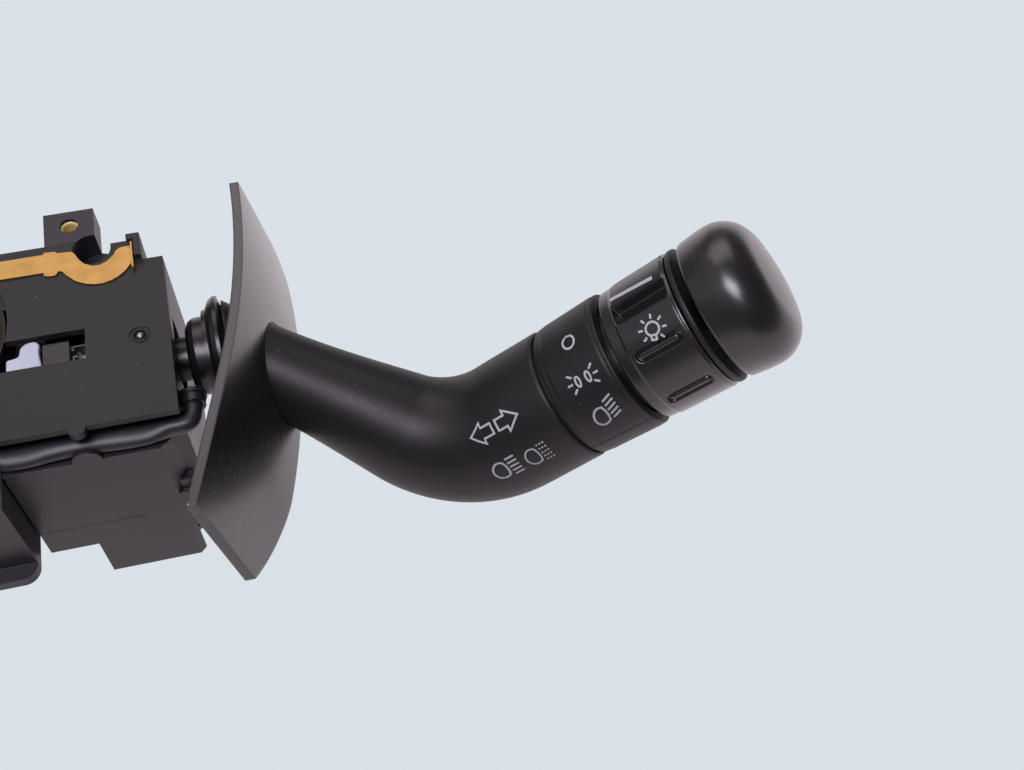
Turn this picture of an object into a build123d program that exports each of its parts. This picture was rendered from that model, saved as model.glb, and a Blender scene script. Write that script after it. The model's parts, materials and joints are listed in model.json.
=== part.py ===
from build123d import *
import math
import os

# Combination stalk switch, in millimetres.
# The origin is on the axis of the steering column, inside the hub's bore. +Z runs up the column
# towards the driver, +X points along the stalk and +Y is across the column.

# ---- column hub -------------------------------------------------------------------------------
BORE_R = 19.0             # column tube that the hub clamps
SLEEVE_WALL = 2.5         # hub sleeve where the cancelling cam turns on it
NECK_WALL = 5.0           # thicker sleeve below, under the clamp band
SLEEVE_TOP = 20.0
SLEEVE_BOTTOM = -24.0
SLEEVE_SLIT = 2.0
RUN = 0.05                # radial clearance of every running fit
GAP = 0.3                 # clearance between faces of different bodies
CAM_WALL = 2.4            # ring of the cancelling cam
LOBE_OUT = 2.25           # how far the cam's two lobes stand out of its ring
LOBE_CLEAR = 1.2
HUB_WALL = 3.6
RECESS_FLOOR = 14.0
SLEEVE_R = BORE_R + SLEEVE_WALL
NECK_SLEEVE_R = BORE_R + NECK_WALL
CAM_R = SLEEVE_R + RUN + CAM_WALL
LOBE_R = CAM_R + LOBE_OUT
RECESS_R = LOBE_R + LOBE_CLEAR     # round pocket that the cancelling cam turns in
HUB_R = RECESS_R + HUB_WALL

# ---- cover and housing ------------------------------------------------------------------------
COVER_TOP = 24.0
COVER_T = 2.0
COVER_RIM = 2.4           # how far the cover reaches in over the cam's pocket
COVER_HOLE_R = RECESS_R - COVER_RIM
BODY_RIGHT = HUB_R + 31.0
BODY_FRONT = -HUB_R - 2.5     # front edge of the cover
BODY_BACK = 20.7
BACK_STEP_X = BODY_RIGHT - 4.8
BACK_STEP_Y = 11.9
BACK_MID_Y = 18.5
WALL = 2.0
FRONT_WALL_Y = BODY_FRONT - 3.5     # outer face of the wall below the cable ledge
LEDGE_Z = 14.2
LEDGE_BACK_Y = BODY_FRONT + 3.1
LIP_H = 0.5
LIP_T = 1.2
CORNER_CUT = 3.2
CORNER_CUT_BOTTOM = -7.0
CHAMBER_LEFT = HUB_R + 2.0
FLOOR_TOP = -1.0
FLOOR_T = 2.0
PARTING_Z = -14.0
WINDOW_RIGHT = HUB_R + 11.5
WINDOW_LOW_Y = -14.9
WINDOW_HIGH_Y = -6.3
TAB_X = HUB_R + 8.4
TAB_R = 3.4
TAB_OUT = 3.6
TONGUE_R = 2.1
TONGUE_OUT = 2.2

# ---- ear, screw recess and earth strip ----------------------------------------------------------
EAR_LEFT = HUB_R + 3.2
EAR_RIGHT = EAR_LEFT + 12.1
EAR_OUT = 10.3            # how far the ear stands out behind the cover
EAR_TOP = BODY_BACK + EAR_OUT
EAR_T = 7.6
INSERT_X = (EAR_LEFT + EAR_RIGHT) / 2
INSERT_Y = EAR_TOP - 4.6
INSERT_R = 2.9
INSERT_DEPTH = 1.0        # the insert's end lies this far under the ear's face
INSERT_HOLE_R = 2.2
THREAD_R = 1.65
NOTCH_X = EAR_RIGHT - 1.0
NOTCH_Y = BODY_BACK - 3.1
NOTCH_R = 4.6
STRIP_T = 0.5
STRIP_W = 5.6
STRIP_ARC_GAP = 1.0
STRIP_ARC_W = 5.4
STRIP_Y = BODY_BACK - 5.7
STRIP_RING_W = 3.6
STRIP_RING_CLEAR = 0.5
STRIP_TAB_X = EAR_LEFT + 1.3
STRIP_TAB_W = 3.2
STRIP_TAB_OUT = 0.9
STRIP_END_RISE = 1.2
CLIP_T = 1.6
CLIP_LEN = 7.0
CLIP_RISE = 2.0

# ---- lower shell --------------------------------------------------------------------------------
SHELL_WALL = 2.0
SHALLOW_BOTTOM = -24.0
DEEP_BOTTOM = -39.5
DEEP_LEFT = HUB_R + 1.3
DEEP_RIGHT = BODY_RIGHT - 3.7
DEEP_BACK = -8.0
ARM_LEFT = -15.0          # the front of the body runs this far past the column's axis
HUB_CLEAR_R = HUB_R - 3.0
SHELL_SCREW_R = 1.5
SHELL_SCREW_HEAD_R = 2.8
SHELL_SCREW_L = 14.0

# ---- connector socket ---------------------------------------------------------------------------
SOCKET_RIGHT = 20.3
SOCKET_LEFT = -21.0
SOCKET_BACK = BODY_FRONT
SOCKET_FRONT = SOCKET_BACK - 11.5
SOCKET_BOTTOM = -15.6
SOCKET_WALL = 1.8
SOCKET_DEPTH = 18.0
SOCKET_FLANGE_T = 3.0
SOCKET_FLANGE_OUT = 4.0
SOCKET_CORNER_R = 5.0
LATCH_W = 8.0
LATCH_H = 9.0
LATCH_RISE = 2.5
TERMINAL_PITCH = 5.0
TERMINAL_COUNT = 7
TERMINAL_W = 1.8
TERMINAL_T = 0.8
TERMINAL_REACH = 12.0
TERMINAL_ROWS = 2
TERMINAL_ROW_GAP = 4.0

# ---- cable sheath -------------------------------------------------------------------------------
SHEATH_R = 2.2
SHEATH_X = BODY_RIGHT + 2.3     # where it turns up beside the lever's neck
SHEATH_BEND_R = 3.4
SHEATH_Y = LEDGE_BACK_Y - 2.6
SHEATH_END_Y = SHEATH_Y + 7.0
SHEATH_LEFT_X = 9.0
SHEATH_CORNER_CUT = 3.2
BOSS_L = 8.0
GLAND_L = 2.3
GLAND_WALL = 0.8
GLAND_RIM = 0.4
GLAND_RIM_L = 1.0

# ---- lever pivots -------------------------------------------------------------------------------
PIN_X = BODY_RIGHT - 7.0
PIN_Y = -11.0
LEVER_DEPTH = 12.5        # from the face of the cover down to the axis of the lever
PIN_R = 1.5
PIN_RING_R = 2.5
PIN_RING_DEPTH = 0.3
STUB_R = 3.0
YOKE_HALF = 9.0           # half width of the yoke over its cheeks
CHEEK_T = 2.8
YOKE_LEFT = 8.0
YOKE_RIGHT = 3.0
YOKE_PLATE_T = 3.0
ARM_R = 17.0              # reach of the detent arm from the pivot
ARM_HALF = 6.4
DRIVE_PIN_OFFSET = 12.0
DRIVE_PIN_R = 1.5
TURN_DEG = 10.0
BEAM_DEG = 5.0
BEAM_PIN_R = 2.0
DETENT_R = 1.2
DETENT_OUT = 0.3          # how far the notch circles stand outside the arm's end
POST_R = 1.2
POST_SPREAD = 4.6
BEAM_SLIDER_W = 4.0
BEAM_SLIDER_H = 9.4
TURN_SLIDER_HALF_X = 6.0
TURN_SLIDER_HALF_Y = 8.0
TURN_SLIDER_T = 5.2

# ---- lever --------------------------------------------------------------------------------------
NECK_R = 5.4
NECK_END = 9.5
CORE_BACK = 5.6
TAIL_R = 1.5
TAIL_END = 14.4
TAIL_BALL_R = 2.0
COLLAR_R = 9.6
COLLAR_END = 14.0
FIN_R = 11.0
FIN_T = 1.0
HUB_DISC_R = 13.9
HUB_DISC_END = 19.0
ROD_R = 4.5
STALK_ROOT = 19.5
ROOT_EXTRA = 9.0          # how far the stalk's own form starts behind its root, before it is trimmed
ELBOW_X = 70.3
ELBOW_Y = -30.4
ELBOW_Z = -17.9
BEND_R = 27.7
ELBOW_TO_RING = 32.85
OUTER_TILT = 35.6         # rise of the grip towards the driver, in degrees
STALK_ROOT_R = 10.15
STALK_END_R = 16.7
SWELL_FROM = 0.137        # shares of the stalk's length between which it swells
SWELL_TO = 0.865
STALK_WALL = 2.2
PLUG_L = 12.0
PLUG_CLEAR = 0.1

# ---- shield -------------------------------------------------------------------------------------
# Places are from the pivot: the plate's near edge faces the driver, its far edge the dashboard.
SHIELD_T = 2.2
SHIELD_NEAR_X = 28.3
SHIELD_NEAR_Z = 22.5
SHIELD_NEAR_CREST_Y = 34.8
SHIELD_NEAR_SLOPE = 17.1
SHIELD_FAR_X = 35.4
SHIELD_FAR_Z = -16.3
SHIELD_FAR_CREST_Y = 20.0
SHIELD_FAR_SLOPE = 19.0
SHIELD_ARC_R = 190.0
SHIELD_TOP_Y = 33.6
SHIELD_FAR_TOP_Y = 38.0
SHIELD_CORNER_R = 9.0
SHIELD_NEAR_BOTTOM_Y = -53.4
SHIELD_BOTTOM_Y = -58.0
SHIELD_CUT_Y = 22.0       # the bowed cut across the far lower corner
SHIELD_CUT_Z = 8.8
SHIELD_CUT_BOW = 1.6
SHIELD_HOLE_CLEAR = 0.2

# ---- grip: marking ring, knob and end cap, measured along the grip's axis -------------------------
SPACER_T = 0.9
SPACER_IN = 0.9
RING_L = 16.4
RING_WALL = 2.4
GROOVE_L = 1.3
GROOVE_IN = 1.6
KNOB_L = 15.0
KNOB_R = 15.5
KNOB_WALL = 2.6
KNOB_FIRST_DEG = -17.0
KNOB_STEP_DEG = 34.0
KNOB_STOPS = 2
RIB_W = 5.6
RIB_H = 1.7
SCOOP_R = 9.0
SCOOP_DEPTH = 1.5
POCKET_COUNT = 7
POCKET_L = 10.5
POCKET_W = 3.4
POCKET_D = 0.7
RIDGE_W = 1.5
RIDGE_H = 0.5
LIP_RING_L = 2.4
LIP_RING_R = 16.2
SPINDLE_R = 9.0
SPINDLE_WALL = 2.2
CAP_GAP = 1.9
CAP_TRAVEL = 1.5
CAP_R = 17.2
CAP_L = 18.6
CAP_ROUND = 8.2
CAP_DOME_R = 62.0
CAP_FOOT_CHAMFER = 0.7
CAP_WALL = 2.0
STEM_R = 3.0
STEM_L = 21.6

# ---- cancelling mechanism -----------------------------------------------------------------------
LOBE_HALF_DEG = 8.0
LOBE_DEG = 20.0
LUG_RISE = 2.6
PAWL_TIP_X = CAM_R + 0.25
PAWL_LEFT_END = HUB_R + 1.3
PAWL_HALF = 4.0
PAWL_LOW = 17.8
PAWL_T = 5.2
SLIDER_T = 4.4
PAWL_TRAVEL = 2.2
PAWL_CLEAR = 0.25

# ---- derived places -----------------------------------------------------------------------------
COVER_UNDER = COVER_TOP - COVER_T
LEVER_Z = COVER_TOP - LEVER_DEPTH
FLOOR_UNDER = FLOOR_TOP - FLOOR_T
SHEATH_Z = LEDGE_Z + SHEATH_R
SHELL_LEFT = SOCKET_RIGHT + GAP
SOCKET_TOP = LEDGE_Z
PAWL_Y = (WINDOW_LOW_Y + WINDOW_HIGH_Y) / 2
CHAMBER_RIGHT = BODY_RIGHT - WALL
CHAMBER_FRONT = LEDGE_BACK_Y + WALL
CHAMBER_BACK = BACK_STEP_Y - WALL
pivot = Vector(PIN_X, PIN_Y, LEVER_Z)
root = pivot + Vector(STALK_ROOT, 0, 0)
elbow = pivot + Vector(ELBOW_X, ELBOW_Y, ELBOW_Z)
inner_axis = (elbow - root).normalized()
outer_axis = Vector(math.cos(math.radians(OUTER_TILT)), 0, math.sin(math.radians(OUTER_TILT)))
ring_foot = elbow + outer_axis * ELBOW_TO_RING
stalk_start = root - inner_axis * ROOT_EXTRA
bend_normal = inner_axis.cross(outer_axis).normalized()
grip_side = Vector(-outer_axis.Z, 0, outer_axis.X)
grip = Plane(origin=ring_foot, x_dir=grip_side, z_dir=outer_axis).location
RING_START = SPACER_T
RING_END = RING_START + RING_L
KNOB_START = RING_END + GROOVE_L
KNOB_END = KNOB_START + KNOB_L
LIP_END = KNOB_END + LIP_RING_L
CAP_START = LIP_END + CAP_GAP
CAP_END = CAP_START + CAP_L
NOTCH_FLOOR = COVER_TOP - EAR_T

os.makedirs("parts", exist_ok=True)


def save(name, shape):
    """Write one sub-part as a STEP file named after its node."""
    export_step(shape, os.path.join("parts", name + ".step"))


def block(x0, x1, y0, y1, z0, z1):
    """A box between two corners."""
    centre = Pos((x0 + x1) / 2, (y0 + y1) / 2, (z0 + z1) / 2)
    return centre * Box(abs(x1 - x0), abs(y1 - y0), abs(z1 - z0))


def post(x, y, z0, z1, r):
    """A round post along Z."""
    return Pos(x, y, (z0 + z1) / 2) * Cylinder(r, z1 - z0)


def bar_x(x0, x1, y, z, r):
    """A round bar along X."""
    return Pos((x0 + x1) / 2, y, z) * Rot(0, 90, 0) * Cylinder(r, x1 - x0)


def bar_y(y0, y1, x, z, r):
    """A round bar along Y."""
    return Pos(x, (y0 + y1) / 2, z) * Rot(90, 0, 0) * Cylinder(r, y1 - y0)


def slab(points, z0, z1):
    """A plate with a straight-sided outline, from z0 up to z1."""
    face = make_face(Polyline(*points, close=True))
    return Pos(0, 0, z0) * extrude(face, z1 - z0)


def turned(profile):
    """A solid turned about Z from (radius, height) points."""
    face = make_face(Polyline(*[(r, 0, h) for r, h in profile], close=True))
    return revolve(face, Axis.Z)


def tube(r_out, r_in, z0, z1):
    """A plain ring about the Z axis."""
    return post(0, 0, z0, z1, r_out) - post(0, 0, z0 - 1, z1 + 1, r_in)


def body_plan(front, z0, z1):
    """The outline that the cover and the housing share: the hub's circle and the lever arm."""
    arm = slab(
        [
            (ARM_LEFT, front),
            (BODY_RIGHT, front),
            (BODY_RIGHT, BACK_STEP_Y),
            (BACK_STEP_X, BACK_STEP_Y),
            (BACK_STEP_X, BACK_MID_Y),
            (EAR_RIGHT, BACK_MID_Y),
            (EAR_RIGHT, BODY_BACK),
            (0, BODY_BACK),
            (0, 0),
            (ARM_LEFT, 0),
        ],
        z0,
        z1,
    )
    notch = post(NOTCH_X, NOTCH_Y, NOTCH_FLOOR, z1 + 1, NOTCH_R)
    throat = block(NOTCH_X, NOTCH_X + NOTCH_R, NOTCH_Y, EAR_TOP + 1, NOTCH_FLOOR, z1 + 1)
    return arm + post(0, 0, z0, z1, HUB_R) - notch - throat


# ---- housing ------------------------------------------------------------------------------------
LUG_X = -26.0
LUG_Y = 26.0
LUG_R = 6.5
LUG_HOLE_R = 2.75
LUG_T = 6.0
LUG_BOTTOM = 4.0
SCREW_POSTS = [
    (BODY_RIGHT - 4.5, FRONT_WALL_Y + 4.5),
    (BODY_RIGHT - 4.5, BACK_STEP_Y - 4.5),
    (CHAMBER_LEFT + 2.6, BACK_STEP_Y - 4.5),
    (HUB_R - 0.5, FRONT_WALL_Y + 4.5),
]
SCREW_POST_R = 3.4


def housing():
    body = body_plan(BODY_FRONT, PARTING_Z, COVER_UNDER)
    front = block(SHELL_LEFT, BODY_RIGHT, FRONT_WALL_Y, BODY_FRONT, PARTING_Z, LEDGE_Z)
    body += front
    # the ledge that carries the cable, with its lip, its retaining tab and the cut corner
    body -= block(ARM_LEFT - 1, BODY_RIGHT + 1, FRONT_WALL_Y - 1, LEDGE_BACK_Y, LEDGE_Z, COVER_UNDER + 1)
    lip_right = BODY_RIGHT - CORNER_CUT
    body += block(SHELL_LEFT, lip_right, FRONT_WALL_Y, FRONT_WALL_Y + LIP_T, LEDGE_Z, LEDGE_Z + LIP_H)
    tab = Pos(TAB_X, FRONT_WALL_Y + LIP_T / 2, LEDGE_Z + LIP_H + TAB_OUT - TAB_R)
    body += tab * Rot(90, 0, 0) * Cylinder(TAB_R, LIP_T)
    corner = slab(
        [
            (BODY_RIGHT - 2 * CORNER_CUT, FRONT_WALL_Y - 1),
            (BODY_RIGHT + 1, FRONT_WALL_Y - 1),
            (BODY_RIGHT + 1, FRONT_WALL_Y + CORNER_CUT),
            (BODY_RIGHT - CORNER_CUT, FRONT_WALL_Y + CORNER_CUT),
            (BODY_RIGHT - 2 * CORNER_CUT, FRONT_WALL_Y),
        ],
        CORNER_CUT_BOTTOM,
        LEDGE_Z + 2,
    )
    body -= corner
    # room for the cable's bend at the housing's corner
    bend_cut = BODY_RIGHT - SHEATH_CORNER_CUT
    body -= slab(
        [
            (bend_cut, LEDGE_BACK_Y - 1),
            (BODY_RIGHT + 1, LEDGE_BACK_Y - 1),
            (BODY_RIGHT + 1, LEDGE_BACK_Y + SHEATH_CORNER_CUT),
            (BODY_RIGHT, LEDGE_BACK_Y + SHEATH_CORNER_CUT),
            (bend_cut, LEDGE_BACK_Y),
        ],
        LEDGE_Z,
        COVER_UNDER + 1,
    )
    # the lever's chamber above the floor and the contact chamber under it
    body -= block(CHAMBER_LEFT, CHAMBER_RIGHT, CHAMBER_FRONT, CHAMBER_BACK, FLOOR_TOP, COVER_UNDER + 1)
    body -= block(
        CHAMBER_LEFT, CHAMBER_RIGHT, FRONT_WALL_Y + WALL, CHAMBER_BACK, PARTING_Z - 1, FLOOR_UNDER
    )
    for x, y in SCREW_POSTS:
        body += post(x, y, PARTING_Z, FLOOR_UNDER, SCREW_POST_R)
        body -= post(x, y, PARTING_Z - 1, FLOOR_UNDER - 1, SHELL_SCREW_R)
    # under the hub only the clamping sleeve goes down
    hollow = post(0, 0, PARTING_Z - 1, FLOOR_TOP, HUB_R - WALL)
    body -= hollow - post(0, 0, PARTING_Z - 2, FLOOR_TOP + 1, NECK_SLEEVE_R)
    body += post(0, 0, SLEEVE_BOTTOM, FLOOR_TOP, NECK_SLEEVE_R)
    body -= post(0, 0, RECESS_FLOOR, COVER_UNDER + 1, RECESS_R)
    body += post(0, 0, RECESS_FLOOR - 1, SLEEVE_TOP, SLEEVE_R)
    body -= post(0, 0, SLEEVE_BOTTOM - 1, COVER_TOP, BORE_R)
    for angle in (45, 135, 225, 315):
        slit = block(BORE_R - 2, NECK_SLEEVE_R + 1, -SLEEVE_SLIT / 2, SLEEVE_SLIT / 2, SLEEVE_BOTTOM - 1, PARTING_Z)
        body -= Rot(0, 0, angle) * slit
    # the pawl's guideway, from the cam's pocket into the chamber
    guide_half = PAWL_HALF + PAWL_CLEAR
    body -= block(
        SLEEVE_R + GAP,
        CHAMBER_LEFT + 1,
        PAWL_Y - guide_half,
        PAWL_Y + guide_half,
        PAWL_LOW - PAWL_CLEAR,
        COVER_UNDER + 1,
    )
    # the lever's window, the slot for the drive pin and the lower trunnion's seat
    window_y = NECK_R + 2.8
    window_z = NECK_R + 1.6
    body -= block(
        CHAMBER_RIGHT - 1,
        BODY_RIGHT + 1,
        PIN_Y - window_y,
        PIN_Y + window_y,
        LEVER_Z - window_z,
        LEVER_Z + window_z,
    )
    sweep_y = DRIVE_PIN_OFFSET * math.sin(math.radians(TURN_DEG)) + DRIVE_PIN_R + GAP
    drive_x = PIN_X - DRIVE_PIN_OFFSET
    body -= block(
        drive_x - DRIVE_PIN_R - GAP,
        drive_x + DRIVE_PIN_R + 2 * GAP,
        PIN_Y - sweep_y,
        PIN_Y + sweep_y,
        FLOOR_UNDER - 1,
        FLOOR_TOP + 1,
    )
    body -= post(PIN_X, PIN_Y, FLOOR_UNDER - 1, FLOOR_TOP + 1, STUB_R + RUN)
    # the ear for the column shroud's screw
    ear = block(EAR_LEFT, EAR_RIGHT, BODY_BACK - 1, EAR_TOP, COVER_TOP - EAR_T, COVER_TOP)
    ear -= block(EAR_LEFT - 1, EAR_RIGHT + 1, BODY_BACK - 2, BODY_BACK, COVER_UNDER, COVER_TOP + 1)
    insert_top = COVER_TOP - INSERT_DEPTH
    ear -= post(INSERT_X, INSERT_Y, COVER_TOP - EAR_T - 1, insert_top, INSERT_R)
    ear -= post(INSERT_X, INSERT_Y, insert_top - 1, COVER_TOP + 1, INSERT_HOLE_R)
    ear -= post(NOTCH_X, NOTCH_Y, COVER_TOP - EAR_T - 1, COVER_TOP + 1, NOTCH_R)
    body += ear
    # two lugs that bolt to the column's bracket
    for side in (-1, 1):
        arm = slab(
            [
                (LUG_X - LUG_R * 0.7, side * (LUG_Y + LUG_R * 0.7)),
                (LUG_X + LUG_R * 1.6, side * (LUG_Y - LUG_R * 0.2)),
                (LUG_X - LUG_R * 0.2, side * (LUG_Y - LUG_R * 1.6)),
            ],
            LUG_BOTTOM,
            LUG_BOTTOM + LUG_T,
        )
        lug = post(LUG_X, side * LUG_Y, LUG_BOTTOM, LUG_BOTTOM + LUG_T, LUG_R)
        body += lug + (arm - post(0, 0, LUG_BOTTOM - 1, COVER_TOP, HUB_R - WALL))
        body -= post(LUG_X, side * LUG_Y, LUG_BOTTOM - 1, LUG_BOTTOM + LUG_T + 1, LUG_HOLE_R)
    return body


save("housing", housing())


# ---- cover and what lies on it ------------------------------------------------------------------
def cover_plate():
    plate = body_plan(BODY_FRONT, COVER_UNDER, COVER_TOP)
    plate -= post(0, 0, COVER_UNDER - 1, COVER_TOP + 1, COVER_HOLE_R)
    plate -= block(0, WINDOW_RIGHT, WINDOW_LOW_Y, WINDOW_HIGH_Y, COVER_UNDER - 1, COVER_TOP + 1)
    tongue_y = BODY_FRONT - TONGUE_OUT + TONGUE_R
    plate += block(
        TAB_X - TONGUE_R, TAB_X + TONGUE_R, tongue_y, BODY_FRONT + 1, COVER_UNDER, COVER_TOP
    )
    plate += post(TAB_X, tongue_y, COVER_UNDER, COVER_TOP, TONGUE_R)
    groove = post(PIN_X, PIN_Y, COVER_TOP - PIN_RING_DEPTH, COVER_TOP + 1, PIN_RING_R)
    plate -= groove - post(PIN_X, PIN_Y, COVER_UNDER, COVER_TOP + 2, PIN_R + 0.4)
    plate -= post(PIN_X, PIN_Y, COVER_UNDER - 1, COVER_TOP + 1, PIN_R)
    # the hook that holds the free end of the contact strip
    clip_top = COVER_TOP + CLIP_RISE
    clip_y = BACK_STEP_Y + CLIP_LEN
    plate += block(BACK_STEP_X - CLIP_T, BACK_STEP_X, BACK_STEP_Y, clip_y, COVER_UNDER, clip_top)
    lip_z = COVER_TOP + STRIP_T + GAP
    plate += block(
        BACK_STEP_X - 2 * CLIP_T, BACK_STEP_X, clip_y - CLIP_T, clip_y, lip_z, clip_top
    )
    return plate


def contact_strip():
    z0, z1 = COVER_TOP, COVER_TOP + STRIP_T
    ring_in = COVER_HOLE_R + STRIP_RING_CLEAR
    half = STRIP_W / 2
    low, high = STRIP_Y - half, STRIP_Y + half
    ring = tube(ring_in + STRIP_RING_W, ring_in, z0, z1)
    ring -= block(-HUB_R - 1, HUB_R + 1, -HUB_R - 1, low, z0 - 1, z1 + 1)
    ring_mid = ring_in + STRIP_RING_W / 2
    start_x = math.sqrt(ring_mid**2 - STRIP_Y**2)
    end_x = BACK_STEP_X - CLIP_T - GAP
    arc_in = NOTCH_R + STRIP_ARC_GAP
    arc_out = arc_in + STRIP_ARC_W
    arc = post(NOTCH_X, NOTCH_Y, z0, z1, arc_out)
    arc -= post(NOTCH_X, NOTCH_Y, z0 - 1, z1 + 1, arc_in)
    tail_high = high - STRIP_ARC_GAP
    arc -= block(NOTCH_X - arc_out - 1, NOTCH_X, high, NOTCH_Y + arc_out, z0 - 1, z1 + 1)
    arc -= block(NOTCH_X, NOTCH_X + arc_out + 1, tail_high, NOTCH_Y + arc_out, z0 - 1, z1 + 1)
    arc -= block(end_x, NOTCH_X + arc_out + 1, 0, NOTCH_Y, z0 - 1, z1 + 1)
    bar = block(start_x, NOTCH_X - arc_out + 1, low, high, z0, z1)
    bar += block(NOTCH_X - arc_out, NOTCH_X - arc_in, STRIP_Y, high, z0, z1)
    tab_end = STRIP_TAB_X + STRIP_TAB_W
    tabs = block(STRIP_TAB_X, tab_end, low - STRIP_TAB_OUT, high + STRIP_TAB_OUT / 2, z0, z1)
    tail_low = BACK_STEP_Y - STRIP_W / 3
    tail = block(end_x - 2 * STRIP_T, end_x, tail_low, tail_high, z0, z1)
    upstand = block(end_x - STRIP_T, end_x, tail_low, tail_high, z0, z1 + STRIP_END_RISE)
    return ring + bar + tabs + arc + tail + upstand


def threaded_insert():
    bush = post(INSERT_X, INSERT_Y, COVER_TOP - EAR_T, COVER_TOP - INSERT_DEPTH, INSERT_R)
    return bush - post(INSERT_X, INSERT_Y, COVER_TOP - EAR_T - 1, COVER_TOP + 1, THREAD_R)


def pivot_pin():
    bottom = COVER_UNDER - GAP - YOKE_PLATE_T + GAP
    shank = post(PIN_X, PIN_Y, bottom, COVER_TOP, PIN_R)
    head = Pos(PIN_X, PIN_Y, COVER_TOP) * Sphere(PIN_R)
    return shank + (head & post(PIN_X, PIN_Y, COVER_TOP - 1, COVER_TOP + 0.5, PIN_R))


save("cover_plate", cover_plate())
save("horn_contact_strip", contact_strip())
save("threaded_insert", threaded_insert())
save("pivot_pin", pivot_pin())


# ---- lower shell --------------------------------------------------------------------------------
def lower_box(inset, top):
    """The outside of the lower shell, or its inside when inset by the wall."""
    shallow = block(
        SHELL_LEFT + inset,
        BODY_RIGHT - inset,
        FRONT_WALL_Y + inset,
        BACK_STEP_Y - inset,
        SHALLOW_BOTTOM + inset,
        top,
    )
    shallow -= post(0, 0, DEEP_BOTTOM - 1, top + 1, HUB_CLEAR_R + inset)
    right = DEEP_RIGHT - inset
    front = FRONT_WALL_Y + inset
    cut = CORNER_CUT - inset * 0.6
    deep = slab(
        [
            (DEEP_LEFT + inset, front),
            (right - cut, front),
            (right, front + cut),
            (right, DEEP_BACK - inset),
            (DEEP_LEFT + inset, DEEP_BACK - inset),
        ],
        DEEP_BOTTOM + inset,
        top,
    )
    return shallow + deep


def lower_shell():
    shell = lower_box(0, PARTING_Z) - lower_box(SHELL_WALL, PARTING_Z + 1)
    for x, y in SCREW_POSTS:
        column = post(x, y, SHALLOW_BOTTOM, PARTING_Z, SCREW_POST_R)
        shell += column & lower_box(0, PARTING_Z)
        shell -= post(x, y, DEEP_BOTTOM - 1, PARTING_Z + 1, SHELL_SCREW_R)
        shell -= post(x, y, DEEP_BOTTOM - 1, SCREW_SEAT_Z, SHELL_SCREW_HEAD_R + GAP)
    for x, y in PLATE_POSTS:
        bottom = DEEP_BOTTOM if y < DEEP_BACK else SHALLOW_BOTTOM
        shell += post(x, y, bottom, PLATE_UNDER, PLATE_POST_R)
    return shell


PLATE_T = 1.6
PLATE_LEFT = CHAMBER_LEFT + 1.6
PLATE_RIGHT = BODY_RIGHT - 8.4
PLATE_FRONT = FRONT_WALL_Y + 7.0
PLATE_BACK = BACK_STEP_Y - 8.5
PLATE_POST_IN = 4.0       # how far the plate's posts stand in from its corners
PLATE_POST_R = 1.8
SCREW_SEAT_Z = SHALLOW_BOTTOM + 3.0
turn_slider_under = FLOOR_UNDER - GAP - TURN_SLIDER_T
CONTACT_GAP = 2.6
CONTACT_T = 0.4
PLATE_TOP = turn_slider_under - CONTACT_GAP
PLATE_UNDER = PLATE_TOP - PLATE_T
PLATE_POSTS = [
    (x, y)
    for x in (PLATE_LEFT + PLATE_POST_IN * 0.7, PLATE_RIGHT - PLATE_POST_IN * 0.75)
    for y in (PLATE_FRONT + PLATE_POST_IN, PLATE_BACK - PLATE_POST_IN)
]


def shell_screws():
    screws = []
    for x, y in SCREW_POSTS:
        head = post(x, y, SCREW_SEAT_Z - 2.0, SCREW_SEAT_Z, SHELL_SCREW_HEAD_R)
        head -= Pos(x, y, SCREW_SEAT_Z - 2.0) * Box(3.2, 0.7, 1.4)
        head -= Pos(x, y, SCREW_SEAT_Z - 2.0) * Box(0.7, 3.2, 1.4)
        screws.append(head + post(x, y, SCREW_SEAT_Z, SCREW_SEAT_Z + SHELL_SCREW_L, SHELL_SCREW_R))
    return Compound(children=screws)


save("lower_shell", lower_shell())
save("shell_screws", shell_screws())


# ---- connector socket and cable -----------------------------------------------------------------
def connector_socket():
    body = block(SOCKET_LEFT, SOCKET_RIGHT, SOCKET_FRONT, SOCKET_BACK, SOCKET_BOTTOM, SOCKET_TOP)
    flange_front = SOCKET_FRONT - SOCKET_FLANGE_OUT
    flange = block(
        SOCKET_LEFT, SOCKET_RIGHT, flange_front, SOCKET_FRONT, SOCKET_BOTTOM, SOCKET_BOTTOM + SOCKET_FLANGE_T
    )
    corners = flange.edges().filter_by(Axis.Z).sort_by(Axis.Y)[:2]
    flange = fillet(corners, min(SOCKET_CORNER_R, SOCKET_FLANGE_OUT - 0.2))
    body += flange
    body -= block(
        SOCKET_LEFT + SOCKET_WALL,
        SOCKET_RIGHT - SOCKET_WALL,
        SOCKET_FRONT + SOCKET_WALL,
        SOCKET_BACK - SOCKET_WALL,
        SOCKET_BOTTOM - 1,
        SOCKET_BOTTOM + SOCKET_DEPTH,
    )
    latch_x = (SOCKET_LEFT + SOCKET_RIGHT - LATCH_W) / 2
    latch_z = SOCKET_BOTTOM + SOCKET_FLANGE_T + LATCH_RISE
    window_back = SOCKET_FRONT + SOCKET_WALL + 1
    body -= block(
        latch_x, latch_x + LATCH_W, SOCKET_FRONT - 1, window_back, latch_z, latch_z + LATCH_H
    )
    # the boss that the cable's sheath is held in
    boss_y = SHEATH_R + 1.2
    boss = block(
        SHEATH_LEFT_X - 2,
        SHEATH_LEFT_X + BOSS_L,
        SHEATH_Y - boss_y,
        SHEATH_Y + SHEATH_R + 0.4,
        SOCKET_TOP,
        SHEATH_Z + boss_y,
    )
    boss -= bar_x(SHEATH_LEFT_X, SHEATH_LEFT_X + BOSS_L + 1, SHEATH_Y, SHEATH_Z, SHEATH_R)
    return body + boss


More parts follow.
